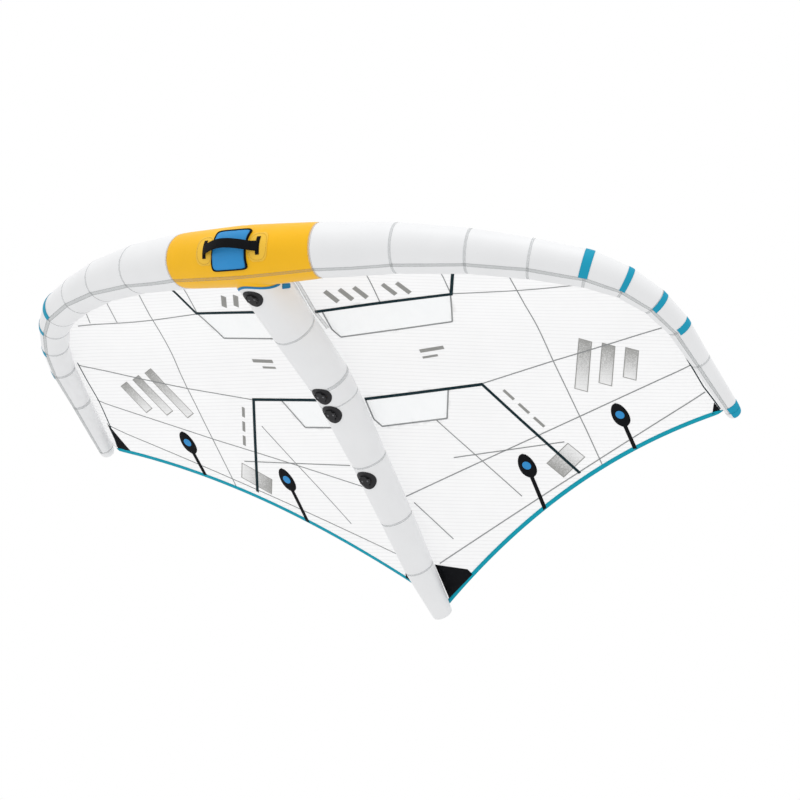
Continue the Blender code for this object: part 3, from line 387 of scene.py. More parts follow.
# Tip caps: the rounded ends of the leading edge, gathered over the last ring seam. The right one
# carries a small teal patch on its front, which goes on a little way along the tube.
# Each row holds a share of the cap's length and of the tube's radius.
CAP_PROFILE = [(0.0, 0.99), (0.2, 1.0), (0.45, 0.97), (0.65, 0.9), (0.8, 0.8), (0.93, 0.62),
               (1.0, 0.4)]
CAP_LENGTH = 0.034
CAP_CLOTH = (0.2, 0.03)
TAPE_LIFT, TAPE_THICKNESS = 0.0011, 0.0008
TEAL_START, TEAL_END = 0.11, 0.001
TEAL_TOP, TEAL_BOTTOM = math.radians(134), math.radians(256)
TEAL_WAY, TEAL_SPREAD = math.radians(195), 0.49
teal_cloth = cloth_finish("teal_cloth", (0.014, 0.33, 0.5), 0.55, mottle=0.06, gloss=0.1)
for side, k, sign in (("right", TIP, 1), ("left", 0, -1)):
    centre, facing = leading_edge.centres[k], leading_edge.facing[k] * sign

    def cap_place(u, v):
        along, size = CAP_PROFILE[round(v * (len(CAP_PROFILE) - 1))]
        out = leading_edge.ring(k, math.tau * u) - centre
        return centre + out * size + facing * along * CAP_LENGTH

    cap = grid_piece(f"tip_cap_{side}", TUBE_SIDES, len(CAP_PROFILE) - 1, cap_place, CAP_CLOTH)
    finish_with(close_ends(cap), white_cloth)
    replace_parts(cap, f"le_tip_cap_{side}")
    if side == "right":
        cap.data.materials.append(teal_cloth.material)
        front = (leading_edge.ring(k, TEAL_WAY) - centre).normalized()
        for face in cap.data.polygons:
            way = face.center - centre
            way -= facing * way.dot(facing)
            if way.length > 0.001 and way.normalized().dot(front) > TEAL_SPREAD:
                face.material_index = 1
        patch = wrap_piece("tip_patch_front", leading_edge, k - TEAL_START, k - TEAL_END,
                           TEAL_TOP, TEAL_BOTTOM, TAPE_LIFT, TAPE_THICKNESS)
        finish_with(patch, teal_cloth)

# Leading edge seams: a tape with a sewn line over each ring seam, and a wide tape along the
# underside, where the tube's long edge is closed. The tapes let the cloth show through.
SEAM_LIFT = 0.0006
RING_TAPE_HALF, RING_TAPE_THICKNESS = 0.0052, 0.0004
LONG_TAPE_WIDTH, LONG_TAPE_THICKNESS, LONG_TAPE_LENGTH = 0.016, 0.0006, 3
# The long seam's angles at the middle and near the tips, and how far it turns forwards at each
# ring seam between two of them.
LONG_SEAM_MIDDLE, LONG_SEAM_TIPS, LONG_SEAM_TURN = -88, -104, 6.5
TURN_FROM, TURN_TO = 1.5, 4


def band_finish(name, colour, middle, edge):
    """Tape that lets the cloth under it show through, more so in its middle than at its edges."""
    made = cloth_finish(name, colour, 0.55, weave=500, mottle=0.08)
    across = made.node("SeparateXYZ", {0: made.place["UV"]})["X"]
    away = made.maths("ABSOLUTE", made.maths("SUBTRACT", across, LONG_TAPE_WIDTH / 2))
    made.surface("Alpha", made.spread(away, middle, edge, LONG_TAPE_WIDTH * 0.25,
                                      LONG_TAPE_WIDTH * 0.38))
    return made


def ring_seams(name, tube, seams, half_width, thickness):
    """A tape round a tube over each of its ring seams."""
    last = len(tube.centres) - 1
    tapes = []
    for k in seams:
        half = half_width / tube.length(min(k, last - 1))
        tapes.append(wrap_piece("ring", tube, max(k - half, 0), min(k + half, last), 0, math.tau,
                                SEAM_LIFT, thickness, 2, TUBE_SIDES))
    return joined(name, tapes)


ring_tape = band_finish("ring_seam_tape", (0.62, 0.64, 0.65), 0.2, 0.2)
finish_with(ring_seams("leading_edge_ring_seams", leading_edge,
                       [k for k in range(TIP + 1) if k != MIDDLE], RING_TAPE_HALF,
                       RING_TAPE_THICKNESS), ring_tape)


def long_seam_angle(t):
    """The angle round the tube of the long seam, which turns forwards out towards the tips."""
    away = abs(t - MIDDLE)
    if away >= TURN_TO:
        return math.radians(LONG_SEAM_TIPS)
    return math.radians(LONG_SEAM_MIDDLE - LONG_SEAM_TURN * max(away - TURN_FROM, 0))


stops = stops_along(leading_edge, 0, TIP)


def seam_place(u, v):
    t = stops[round(v * (len(stops) - 1))]
    turn = LONG_TAPE_WIDTH / leading_edge.radii[min(int(t), TIP - 1)]
    return leading_edge.skin(t, long_seam_angle(t) + (u - 0.5) * turn, SEAM_LIFT)


seam_band = band_finish("wide_seam_tape", (0.32, 0.35, 0.35), 0.12, 0.2)
long_seam = grid_piece("leading_edge_long_seam", 4, len(stops) - 1, seam_place,
                       (LONG_TAPE_WIDTH, LONG_TAPE_LENGTH))
finish_with(thicken(long_seam, LONG_TAPE_THICKNESS), seam_band)

# Teal stripes: four short bands of teal cloth, glued round the front of the tube near each tip.
# Each row holds the stripe's start and end, counted in ring seams from the middle, and the angles
# of its upper and lower edge.
STRIPES = [(4.88, 5.06, 130, 252), (5.92, 6.08, 134, 252), (6.99, 7.16, 138, 250),
           (7.92, 8.10, 146, 240)]
SIDES = (("right", 1), ("left", -1))
for side, sign in SIDES:
    stripes = []
    for low, high, top, bottom in STRIPES:
        start, end = sorted((MIDDLE + sign * low, MIDDLE + sign * high))
        stripes.append(wrap_piece("stripe", leading_edge, start, end, math.radians(top),
                                  math.radians(bottom), TAPE_LIFT, TAPE_THICKNESS, 6))
    finish_with(joined(f"leading_edge_stripes_{side}", stripes), teal_cloth)

# Strut: the air tube under the middle of the canopy, sewn from panels like the leading edge. Its
# nose is cut to fit round the leading edge, and its tail is closed with a flat cap.
# Each row holds a ring seam's distance along, height and radius.
STRUT_SEAMS = [(-0.8457, -0.0949, 0.0945), (-0.4561, -0.0719, 0.092), (-0.1690, -0.0538, 0.0872),
               (-0.0790, -0.0600, 0.0841), (0.2261, -0.0970, 0.073), (0.5078, -0.1377, 0.0665),
               (0.7490, -0.1768, 0.0593), (0.9833, -0.2019, 0.041)]
strut = Tube([(0, y, z, r) for y, z, r in STRUT_SEAMS])
STRUT_LAST = len(STRUT_SEAMS) - 1
STRUT_CLOTH = (TUBE_GIRTH, 1.8)
# The middle of the CAD's leading edge. The strut, canopy and collar are laid out from it.
NOSE = Vector((0, -0.8457, -0.0649))
NOSE_RADIUS = RING_SEAMS[0][3]
FIRST_PANEL = strut.centres[1].y - strut.centres[0].y
NOSE_GAP = 0.0006
STRUT_TAPE_HALF, STRUT_TAPE_THICKNESS = 0.004, 0.0008
END_CAP_RADIUS, END_CAP_THICKNESS, END_CAP_LIFT = 0.0402, 0.0012, 0.0008
END_CAP_HEM, END_CAP_CROWN, END_CAP_RISE = 0.004, 0.012, 0.0012


def cope(angle, clearance):
    """Where along the strut's first panel it meets the leading edge, at an angle round it."""
    height = strut.ring(0, angle).z - NOSE.z
    back = math.sqrt(max((NOSE_RADIUS + clearance) ** 2 - height ** 2, 0))
    return back / FIRST_PANEL


strut_stops = stops_along(strut, 0, STRUT_LAST)


def strut_piece(name, clearance, lift):
    """The strut's skin, or its bladder inside it, coped to the leading edge in front."""
    def place(u, v):
        angle = math.tau * u
        start = cope(angle, clearance)
        t = strut_stops[round(v * (len(strut_stops) - 1))]
        if t < 1:
            t = start + t * (1 - start)
        return strut.skin(t, angle, lift, swell=t > 0.5)

    return grid_piece(name, TUBE_SIDES, len(strut_stops) - 1, place, STRUT_CLOTH)


tube = strut_piece("strut_tube", NOSE_GAP, 0)
finish_with(tube, white_cloth)
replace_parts(tube, "strut_panel_1", "strut_panel_2", "strut_panel_3", "strut_panel_4")
inner = close_ends(strut_piece("strut_bladder_film", BLADDER_INSET, -BLADDER_INSET))
finish_with(inner, bladder_film)
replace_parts(inner, "strut_bladder")
finish_with(ring_seams("strut_ring_seams", strut, range(1, STRUT_LAST), STRUT_TAPE_HALF,
                       STRUT_TAPE_THICKNESS), ring_tape)

bpy.ops.object.select_all(action="DESELECT")
bpy.ops.mesh.primitive_circle_add(
    vertices=TUBE_SIDES, radius=END_CAP_RADIUS, fill_type="NGON",
    location=strut.centres[-1] + strut.facing[-1] * END_CAP_LIFT,
    rotation=strut.facing[-1].to_track_quat("Z", "Y").to_euler())
end_cap = bpy.context.object
end_cap.name = end_cap.data.name = "strut_end_cap_cloth"
bpy.ops.object.transform_apply(location=True, rotation=True, scale=True)
bpy.ops.object.mode_set(mode="EDIT")
bpy.ops.mesh.select_all(action="SELECT")
bpy.ops.mesh.inset(thickness=END_CAP_HEM)
bpy.ops.mesh.inset(thickness=END_CAP_CROWN)
bpy.ops.transform.translate(value=strut.facing[-1] * END_CAP_RISE)
bpy.ops.object.mode_set(mode="OBJECT")
bpy.ops.object.shade_smooth()
finish_with(thicken(end_cap, END_CAP_THICKNESS), white_cloth)
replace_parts(end_cap, "strut_end_cap")

# Canopy: one continuous curved sheet of ripstop cloth, sewn to the top of the leading edge, lying
# on the strut, and pulled tight down to the hollow trailing edge.
# Each row holds a distance along the strut and the height of its top.
STRUT_TOP = [(-0.8513, -0.0006), (-0.4621, 0.0200), (-0.1920, 0.0351), (-0.0978, 0.0277),
             (0.2357, -0.0247), (0.5178, -0.0719), (0.7698, -0.1204), (0.9875, -0.1611)]
CHORD = 1.829
TRAILING_HALF, TRAILING_HOLLOW = 1.5, 0.635
HOLLOW_STRAIGHT, HOLLOW_ROUND = 0.373, 0.627
# The ring seams' places along the trailing edge, as shares of its half span.
FOOT_SHARES = (0, 0.195, 0.365, 0.51, 0.635, 0.735, 0.81, 0.87, 0.918, 0.96, 1)
CLOTH_COLUMNS, CLOTH_ROWS = 160, 72
CLOTH_THICKNESS, CLOTH_GAP = 0.0006, 0.0016
SEAT_ANGLE, SEAT_LIFT = math.radians(60), 0.0008
# The web lifts the cloth in front. Where it starts to fall away, and over what length, are
# shares of the chord.
WEB_HEIGHT, WEB_START, WEB_RUN, WEB_CURVE = 0.062, 0.157, 0.303, 1.3
WEB_MIDDLE, WEB_HALF = 0.75, 0.3
DIHEDRAL_FRONT, DIHEDRAL_BACK = 0.088, 0.181
SEAT_FADE = 0.14
HIGH_ABOVE = 2
# The ripstop's lines run back by these shares on their way outwards, right and left.
THREAD_TURN_RIGHT, THREAD_TURN_LEFT = 0.21, 0.07


def mix(low, high, share):
    return low + (high - low) * share


def smooth_line(points, at):
    """Height of a smooth line through points at a distance along."""
    k = 0
    while k < len(points) - 2 and at > points[k + 1][0]:
        k += 1
    slopes = [(b[1] - a[1]) / (b[0] - a[0]) for a, b in zip(points, points[1:])]
    before, after = slopes[max(k - 1, 0)], slopes[min(k + 1, len(slopes) - 1)]
    start, end = (before + slopes[k]) / 2, (slopes[k] + after) / 2
    run = points[k + 1][0] - points[k][0]
    s = (at - points[k][0]) / run
    return ((2 * s ** 3 - 3 * s ** 2 + 1) * points[k][1] + (s ** 3 - 2 * s ** 2 + s) * run * start
            + (3 * s ** 2 - 2 * s ** 3) * points[k + 1][1] + (s ** 3 - s ** 2) * run * end)


def canopy_height(x, y):
    """Height of the cloth over the strut's line, the web and the dihedral outwards."""
    back = (y - NOSE.y) / CHORD
    web = WEB_HEIGHT * (1 - min(max((back - WEB_START) / WEB_RUN, 0), 1)) ** WEB_CURVE
    web *= mix(WEB_MIDDLE, 1, min(abs(x) / WEB_HALF, 1))
    rise = mix(DIHEDRAL_FRONT, DIHEDRAL_BACK, back) * abs(x)
    return smooth_line(STRUT_TOP, y) + CLOTH_GAP + web + rise


def canopy_place(u, v):
    """A point of the canopy by its shares from tip to tip and from front to back."""
    column = abs(2 * u - 1) * MIDDLE
    sign = 1 if u >= 0.5 else -1
    k = min(int(column), MIDDLE - 1)
    seat = [leading_edge.ring(MIDDLE + n, SEAT_ANGLE) for n in (k, k + 1)]
    ways = [(point - leading_edge.centres[MIDDLE + n]).normalized()
            for point, n in zip(seat, (k, k + 1))]
    seat = [point + way * SEAT_LIFT for point, way in zip(seat, ways)]
    start = seat[0].lerp(seat[1], column - k)
    foot_x = mix(FOOT_SHARES[k], FOOT_SHARES[k + 1], column - k) * TRAILING_HALF
    share = (TRAILING_HALF - foot_x) / TRAILING_HALF
    hollow = 1 - HOLLOW_STRAIGHT * share - HOLLOW_ROUND * share ** 2
    foot_y = NOSE.y + CHORD - TRAILING_HOLLOW * hollow
    x, y = mix(start.x, foot_x, v), mix(start.y, foot_y, v)
    outwards = column / MIDDLE
    fade = max(1 - v / mix(SEAT_FADE, 1.0, outwards), 0) ** (2 - outwards)
    z = canopy_height(x, y) + (start.z - canopy_height(start.x, start.y)) * fade
    return Vector((sign * x, y, z))


cloth = grid_piece("canopy_cloth", CLOTH_COLUMNS, CLOTH_ROWS, canopy_place)
for loop in cloth.data.loops:
    x, y, z = cloth.data.vertices[loop.vertex_index].co
    turn = THREAD_TURN_RIGHT if x > 0 else THREAD_TURN_LEFT
    cloth.data.uv_layers[0].data[loop.index].uv = (x, y - turn * abs(x))
surface = BVHTree.FromObject(cloth, bpy.context.evaluated_depsgraph_get())


def on_cloth(x, y):
    """The point of the cloth over a place on the plan, and the way up from it."""
    point, normal = surface.ray_cast(Vector((x, y, HIGH_ABOVE)), -UP)[:2]
    if point is None:
        point, normal = surface.find_nearest(Vector((x, y, canopy_height(x, y))))[:2]
    return point, normal if normal.z > 0 else -normal


def sewn_on(spot, thickness, offset):
    """The middle of cloth sewn on at a spot. Offset 0 shows it on both faces, 1 underneath."""
    point, up = on_cloth(spot.x, spot.y)
    return point - up * (offset * thickness / 2)


def laid(points, width, step=0.02):
    """Places on the plan for a strip's two edges along a bent line; width may vary along it."""
    path = [Vector(point) for point in points]
    runs = [(b - a).normalized() for a, b in zip(path, path[1:])]
    length = sum((b - a).length for a, b in zip(path, path[1:]))
    travelled, rows = 0, []
    for k, (a, b) in enumerate(zip(path, path[1:])):
        count = max(math.ceil((b - a).length / step), 2)
        for number in range(count + (k == len(runs) - 1)):
            before = runs[max(k - 1, 0)] if number == 0 else runs[k]
            middle = (before + runs[k]).normalized()
            half = width / 2 if not callable(width) else width(travelled / length)
            across = Vector((middle.y, -middle.x)) * half / middle.dot(runs[k])
            spot = a.lerp(b, number / count)
            rows.append((spot - across, spot + across))
            travelled += (b - a).length / count
    return rows


def cloth_strip(name, points, width, thickness, offset=0, step=0.02, columns=1, weave=0.02):
    """A strip sewn to the cloth along a bent line, with a scale for its weave."""
    rows = laid(points, width, step)

    def place(u, v):
        low, high = rows[round(v * (len(rows) - 1))]
        return sewn_on(low.lerp(high, u), thickness, offset)

    return thicken(grid_piece(name, columns, len(rows) - 1, place, (weave, 1)), thickness)


def printed_block(made, spot, grain, centre, turn, half, solid):
    """Where a block is printed at a place on the plan: full, or outlined and fading in dots."""
    local = made.node("Mapping", {"Vector": spot, "Location": Vector((*centre, 0)),
                                  "Rotation": Vector((0, 0, math.radians(turn)))},
                      vector_type="TEXTURE")["Vector"]
    parts = made.node("SeparateXYZ", {0: local})
    beyond = [made.maths("SUBTRACT", made.maths("ABSOLUTE", parts[axis]), reach)
              for axis, reach in zip("XY", half)]
    beyond = made.maths("MAXIMUM", *beyond)
    inside = made.maths("LESS_THAN", beyond, 0)
    if solid:
        return inside
    tone = made.spread(parts["X"], 0.15, 0.7, -half[0], half[0])
    dots = made.maths("MULTIPLY", made.maths("LESS_THAN", grain, tone), 0.35)
    dots = made.maths("ADD", dots, made.maths("MULTIPLY", tone, 0.8))
    outline = made.maths("COMPARE", beyond, -OUTLINE_HALF, OUTLINE_HALF)
    return made.maths("MAXIMUM", made.maths("MULTIPLY", dots, inside), outline)


# Each row holds a printed block's centre, its turn in degrees, its half sizes, and whether it is
# full. Both halves of the canopy carry each block.
PRINTS = [((1.03, 0.03), -62, (0.125, 0.028), False), ((1.13, 0.045), -62, (0.1, 0.028), False),
          ((1.23, 0.06), -62, (0.075, 0.028), False), ((0.77, 0.44), 150, (0.075, 0.045), False),
          ((0.12, -0.475), 62, (0.034, 0.012), True), ((0.185, -0.472), 62, (0.034, 0.012), True),
          ((0.25, -0.469), 62, (0.034, 0.012), True), ((0.38, -0.463), 62, (0.034, 0.012), True),
          ((0.445, -0.46), 62, (0.034, 0.012), True), ((0.66, 0.105), 63, (0.028, 0.007), True),
          ((0.697, 0.177), 63, (0.028, 0.007), True), ((0.734, 0.249), 63, (0.028, 0.007), True),
          ((0.42, -0.15), 0, (0.055, 0.008), True), ((0.4, -0.12), 0, (0.035, 0.005), True)]
OUTLINE_HALF = 0.002
PRINT_GREY, THREAD_GREY = (0.5, 0.5, 0.49), (0.3, 0.31, 0.32)
DOT_SCALE, RIPSTOP_SCALE = 280, 18.48


def canopy_finish(name, colour, see_through, ripstop):
    """Thin coated cloth that lets some light through, with fine lines of ripstop threads, and
    printed with plain grey bars, the same on both halves."""
    made = cloth_finish(name, colour, 0.5, weave=700, weave_depth=0.1, crease=0.12, mottle=0.012)
    fine = made.spread(made.wave("Y", RIPSTOP_SCALE, 0.15), 0, ripstop, 0.82, 1)
    parts = made.node("SeparateXYZ", {0: made.place["Object"]})
    spot = made.node("CombineXYZ", {"X": made.maths("ABSOLUTE", parts["X"]), "Y": parts["Y"]})[0]
    grain = made.node("TexVoronoi", {"Vector": spot, "Scale": DOT_SCALE})["Distance"]
    ink = 0
    for block in PRINTS:
        ink = made.maths("MAXIMUM", ink, printed_block(made, spot, grain, *block))
    base = made.shader.inputs["Base Color"].links[0].from_socket
    lined = made.mixed(ink, made.mixed(fine, base, THREAD_GREY), PRINT_GREY)
    made.surface("Base Color", lined)
    glow = made.node("BsdfTranslucent", {"Color": lined})[0]
    both = made.node("MixShader", {"Fac": see_through, 1: made.shader.outputs[0], 2: glow})[0]
    made.feed(made.nodes["Material Output"].inputs["Surface"], both)
    return made


ripstop_white = canopy_finish("ripstop_white", (0.942, 0.942, 0.944), 0.82, 0.1)

# Windows: four panes of clear film let into the cloth. Each outline is cut into the sheet, and
# the faces inside it become the pane.
FRONT_WINDOW = [(0.046, -0.4155), (0.629, -0.3945), (0.567, -0.26), (0.31, -0.2655),
                (0.062, -0.276), (0.043, -0.32)]
REAR_WINDOW = [(0.04, 0.0185), (0.4155, 0.034), (0.353, 0.1625), (0.2, 0.1555), (0.06, 0.149),
               (0.038, 0.11)]
CUT_MARGIN, ON_LINE = 0.03, 0.00001
PANE_THICKNESS = 0.0004
film = Finish("window_film", 0.08)
film.surface("Base Color", (0.9, 0.93, 0.95))
film.surface("IOR", 1.4)
wrinkles = film.noise(12)
film.surface("Alpha", film.spread(wrinkles, 0.16, 0.26))
film.surface("Normal", film.relief(wrinkles, 0.15, 0.003))


def cut_window(name, outline):
    """Cut an outline on the plan out of the cloth and make the part inside it a pane."""
    corners = [Vector(point) for point in outline]
    middle = sum(corners, Vector((0, 0))) / len(corners)
    margin = Vector((CUT_MARGIN, CUT_MARGIN))
    low = Vector((min(x for x, y in outline), min(y for x, y in outline))) - margin
    high = Vector((max(x for x, y in outline), max(y for x, y in outline))) + margin
    edges = []
    for a, b in zip(corners, corners[1:] + corners[:1]):
        away = Vector(((b - a).y, (a - b).x)).normalized()
        edges.append((a, away if away.dot(a - middle) > 0 else -away))
    for a, away in edges:
        pick(cloth)
        for face in cloth.data.polygons:
            face.select = low.x < face.center.x < high.x and low.y < face.center.y < high.y
        bpy.ops.object.mode_set(mode="EDIT")
        bpy.ops.mesh.select_mode(type="FACE")
        bpy.ops.mesh.bisect(plane_co=a.to_3d(), plane_no=away.to_3d())
        bpy.ops.object.mode_set(mode="OBJECT")
    for face in cloth.data.polygons:
        spot = face.center.to_2d()
        face.select = all((spot - a).dot(away) < ON_LINE for a, away in edges)
    bpy.ops.object.mode_set(mode="EDIT")
    bpy.ops.mesh.separate(type="SELECTED")
    bpy.ops.object.mode_set(mode="OBJECT")
    pane = [item for item in bpy.context.selected_objects if item != cloth][0]
    pane.name = pane.data.name = name
    return pane


panes = []
for side, sign in SIDES:
    for where, outline in (("front", FRONT_WINDOW), ("rear", REAR_WINDOW)):
        pane = cut_window(f"pane_{where}_{side}", [(sign * x, y) for x, y in outline])
        finish_with(thicken(pane, PANE_THICKNESS), film)
        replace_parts(pane, f"window_{where}_{side}")
        panes.append(pane)
finish_with(thicken(cloth, CLOTH_THICKNESS), ripstop_white)
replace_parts(cloth, "canopy_inner_right", "canopy_inner_left", "canopy_outer_right",
            "canopy_outer_left")

# Web: the upright fin of white cloth that ties the front half of the canopy down to the strut. Its
# front end stands on the leading edge, and its lower edge is sewn to the strut's top.
WEB_FRONT, WEB_BACK = -0.757, -0.025
WEB_LIFT, BESIDE_MIDDLE = 0.001, 0.0001


def web_place(u, v):
    y = mix(WEB_FRONT, WEB_BACK, v)
    round_nose = math.sqrt(max((NOSE_RADIUS + WEB_LIFT) ** 2 - (y - NOSE.y) ** 2, 0))
    low = max(smooth_line(STRUT_TOP, y), NOSE.z + round_nose)
    return Vector((0, y, mix(low, on_cloth(BESIDE_MIDDLE, y)[0].z, u)))


web = grid_piece("strut_web_cloth", 2, 40, web_place, (0.06, 0.7))
finish_with(thicken(web, CLOTH_THICKNESS), white_cloth)
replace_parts(web, "strut_web")

# Canopy seams: narrow grey seams join the cloth panels. They are sewn through, so they show on
# both faces.
RIGHT_SEAMS = [
    [(0.632, -0.397), (0.645, -0.49), (0.65, -0.665)],
    [(0.632, -0.397), (0.88, -0.3675), (1.101, -0.346), (1.34, -0.315)],
    [(0.567, 0.036), (0.912, -0.012), (1.455, -0.078)],
    [(0.028, 0.475), (0.764, 0.293), (0.915, 0.255), (1.313, 0.153), (1.475, 0.113)],
    [(0.048, 0.793), (0.75, 0.5235), (1.475, 0.2455)],
    [(0.93, -0.555), (0.913, -0.285), (0.914, -0.018), (0.915, 0.321), (0.912, 0.497)],
    [(0.305, 0.341), (0.8, 0.357)],
    [(0.325, -0.6), (0.32, -0.536), (0.308, -0.406)],
    [(0.305, 0.163), (0.518, 0.565)],
    [(0.05, 0.508), (0.15, 0.697)]]
LEFT_SEAMS = [
    [(-0.627, -0.392), (-0.614, -0.506), (-0.61, -0.665)],
    [(-0.627, -0.392), (-0.891, -0.354), (-1.113, -0.328), (-1.355, -0.294)],
    [(-0.573, 0.04), (-0.909, 0.0), (-1.475, -0.088)],
    [(-0.027, 0.474), (-0.173, 0.44), (-0.906, 0.253), (-1.475, 0.091)],
    [(-0.03, 0.8), (-0.173, 0.749), (-0.902, 0.457), (-1.478, 0.225)],
    [(-0.868, -0.555), (-0.892, -0.38), (-0.91, -0.078), (-0.913, 0.495)],
    [(-0.793, 0.356), (-0.201, 0.337)],
    [(-0.315, -0.58), (-0.308, -0.406)],
    [(-1.088, -0.45), (-1.106, -0.332)],
    [(-1.255, -0.39), (-1.273, -0.314)],
    [(-0.594, 0.17), (-0.505, 0.342), (-0.345, 0.627)]]
SEAM_WIDTH, SEAM_THICKNESS = 0.0046, 0.0012
WINDOW_SEAM_WIDTH, WINDOW_SEAM_THICKNESS = 0.006, 0.0016
WEB_TAPE = [(0.012, -0.67), (0.016, -0.42), (0.03, -0.33)]
WEB_TAPE_THICKNESS = 0.001
seam_grey = cloth_finish("grey_seam_tape", (0.3, 0.31, 0.315), 0.6, weave=500, mottle=0.08)
seams = [cloth_strip("seam", points, SEAM_WIDTH, SEAM_THICKNESS)
         for points in RIGHT_SEAMS + LEFT_SEAMS]
finish_with(joined("canopy_seams", seams), seam_grey)
web_seam = cloth_strip("web_seam_tape", WEB_TAPE, LONG_TAPE_WIDTH, WEB_TAPE_THICKNESS, 1,
                       columns=4, weave=LONG_TAPE_WIDTH)
finish_with(web_seam, band_finish("web_tape", (0.4, 0.42, 0.42), 0.2, 0.4))

edges = []
for side, sign in SIDES:
    for outline in (FRONT_WINDOW, REAR_WINDOW):
        for a, b in zip(outline[1:], outline[2:] + outline[:1]):
            edges.append(cloth_strip("edge", [(sign * a[0], a[1]), (sign * b[0], b[1])],
                                     WINDOW_SEAM_WIDTH, WINDOW_SEAM_THICKNESS))
finish_with(joined("window_edge_seams", edges), seam_grey)

# Load strips: dark woven tape sewn along the front edge of each window, and on from there to where
# the loads go, at the leading edge and at the trailing edge.
STRIP_WIDTH, STRIP_THICKNESS = 0.013, 0.002
FRONT_STRIP = [(0.0156, -0.418), (0.327, -0.403), (0.632, -0.3945)]
FRONT_STRIP_ENDS = {"right": [(0.7, -0.506), (0.79, -0.675)],
                    "left": [(0.669, -0.506), (0.74, -0.675)]}
REAR_STRIP = [(0.038, 0.0165), (0.22, 0.025), (0.568, 0.0385), (0.804, 0.509)]
navy_tape = cloth_finish("navy_tape_cloth", (0.004, 0.021, 0.028), 0.6, weave=400, weave_depth=0.3,
                         gloss=0.1)
for side, sign in SIDES:
    for where, points in (("front", FRONT_STRIP + FRONT_STRIP_ENDS[side]), ("rear", REAR_STRIP)):
        strip = cloth_strip(f"strip_{where}_{side}", [(sign * x, y) for x, y in points],
                            STRIP_WIDTH, STRIP_THICKNESS)
        finish_with(strip, navy_tape)
        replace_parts(strip, f"load_strip_{where}_{side}")

# Batten pockets: webbing strips that run forwards from the trailing edge, each ending in an oval
# patch with a round blue marker.
POCKET_THICKNESS, POCKET_STEP = 0.0016, 0.006
POCKET_HALF, POCKET_END = 0.0085, 0.001
OVAL_HALF, OVAL_LENGTH = 0.038, 0.112
# The oval is narrower in front than behind.
OVAL_FRONT, OVAL_GROWTH = 0.83, 0.26
# The outer pockets stand a little further right on both sides.
OUTER_SHIFT = 0.0095
MARKER_RADIUS, MARKER_THICKNESS, MARKER_DEPTH = 0.0185, 0.0016, 0.0022
MARKER_BACK, MARKER_INWARDS = 0.055, 0.002
webbing = cloth_finish("black_webbing_cloth", (0.005, 0.0055, 0.007), 0.8, weave=260,
                       weave_depth=0.8, mottle=0.15, gloss=0.1)
blue_cloth = cloth_finish("blue_cloth", (0.025, 0.27, 0.62), 0.55, weave=450, weave_depth=0.4,
                          crease=0.2, mottle=0.06)


def pocket_piece(name, front, back):
    """One pocket under the cloth: an oval patch in front, then an even strip."""
    length = back[1] - front[1]

    def half_width(share):
        along = share * length
        oval = 1 - (2 * along / OVAL_LENGTH - 1) ** 2
        swell = OVAL_FRONT + OVAL_GROWTH * along / OVAL_LENGTH
        least = POCKET_HALF if along > OVAL_LENGTH / 2 else POCKET_END
        return max(OVAL_HALF * swell * math.sqrt(max(oval, 0)), least)

    return cloth_strip(name, [front, back], half_width, POCKET_THICKNESS, 1, POCKET_STEP, 4)


def disc(sides, radius, depth, place, way):
    """A round disc that faces a way."""
    bpy.ops.object.select_all(action="DESELECT")
    bpy.ops.mesh.primitive_cylinder_add(vertices=sides, radius=radius, depth=depth, location=place,
                                        rotation=way.to_track_quat("Z", "Y").to_euler())
    bpy.ops.object.transform_apply(location=True, rotation=True, scale=True)
    return bpy.context.object


for side, sign in SIDES:
    shift = OUTER_SHIFT * sign
    for where, front, back in (("outer", (1.0775 + shift, 0.223), (1.07 + shift, 0.443)),
                               ("inner", (0.5995, 0.377), (0.591, 0.643))):
        front, back = (sign * front[0], front[1]), (sign * back[0], back[1])
        pocket = pocket_piece(f"pocket_{where}_{side}", front, back)
        finish_with(pocket, webbing)
        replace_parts(pocket, f"batten_pocket_{where}_{side}")
        point, up = on_cloth(front[0] - sign * MARKER_INWARDS, front[1] + MARKER_BACK)
        dot = disc(40, MARKER_RADIUS, MARKER_THICKNESS, point - up * MARKER_DEPTH, up)
        dot.name = dot.data.name = f"pocket_marker_{where}_{side}"
        finish_with(dot, blue_cloth)

# Corner patches: black webbing cloth sewn under the canopy at the tail and at each tip, where the
# cloth is pulled hardest. The left tip's patch is the larger one.
PATCH_THICKNESS = 0.0012
PATCH_GRID = 6
PATCH_WEAVE = (0.1, 0.1)
TAIL_PATCH = [(0.0245, 0.794), (0.154, 0.841), (0.167, 0.867), (0.024, 0.953)]
TIP_PATCHES = {"right": [(1.49, 0.3), (1.49, 0.3), (1.462, 0.35), (1.5, 0.34)],
               "left": [(1.49, 0.212), (1.49, 0.212), (1.431, 0.345), (1.5, 0.34)]}


def cloth_patch(name, sign, corners):
    """A four-cornered patch sewn under the cloth, on the right or the left."""
    a, b, c, d = [Vector((sign * x, y)) for x, y in corners]

    def place(u, v):
        return sewn_on(a.lerp(b, u).lerp(d.lerp(c, u), v), PATCH_THICKNESS, 1)

    patch = grid_piece(name, PATCH_GRID, PATCH_GRID, place, PATCH_WEAVE)
    finish_with(thicken(patch, PATCH_THICKNESS), webbing)
    return patch


for side, sign in SIDES:
    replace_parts(cloth_patch(f"patch_tail_{side}", sign, TAIL_PATCH), f"tail_patch_{side}")
    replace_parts(cloth_patch(f"patch_tip_{side}", sign, TIP_PATCHES[side]), f"tip_patch_{side}")

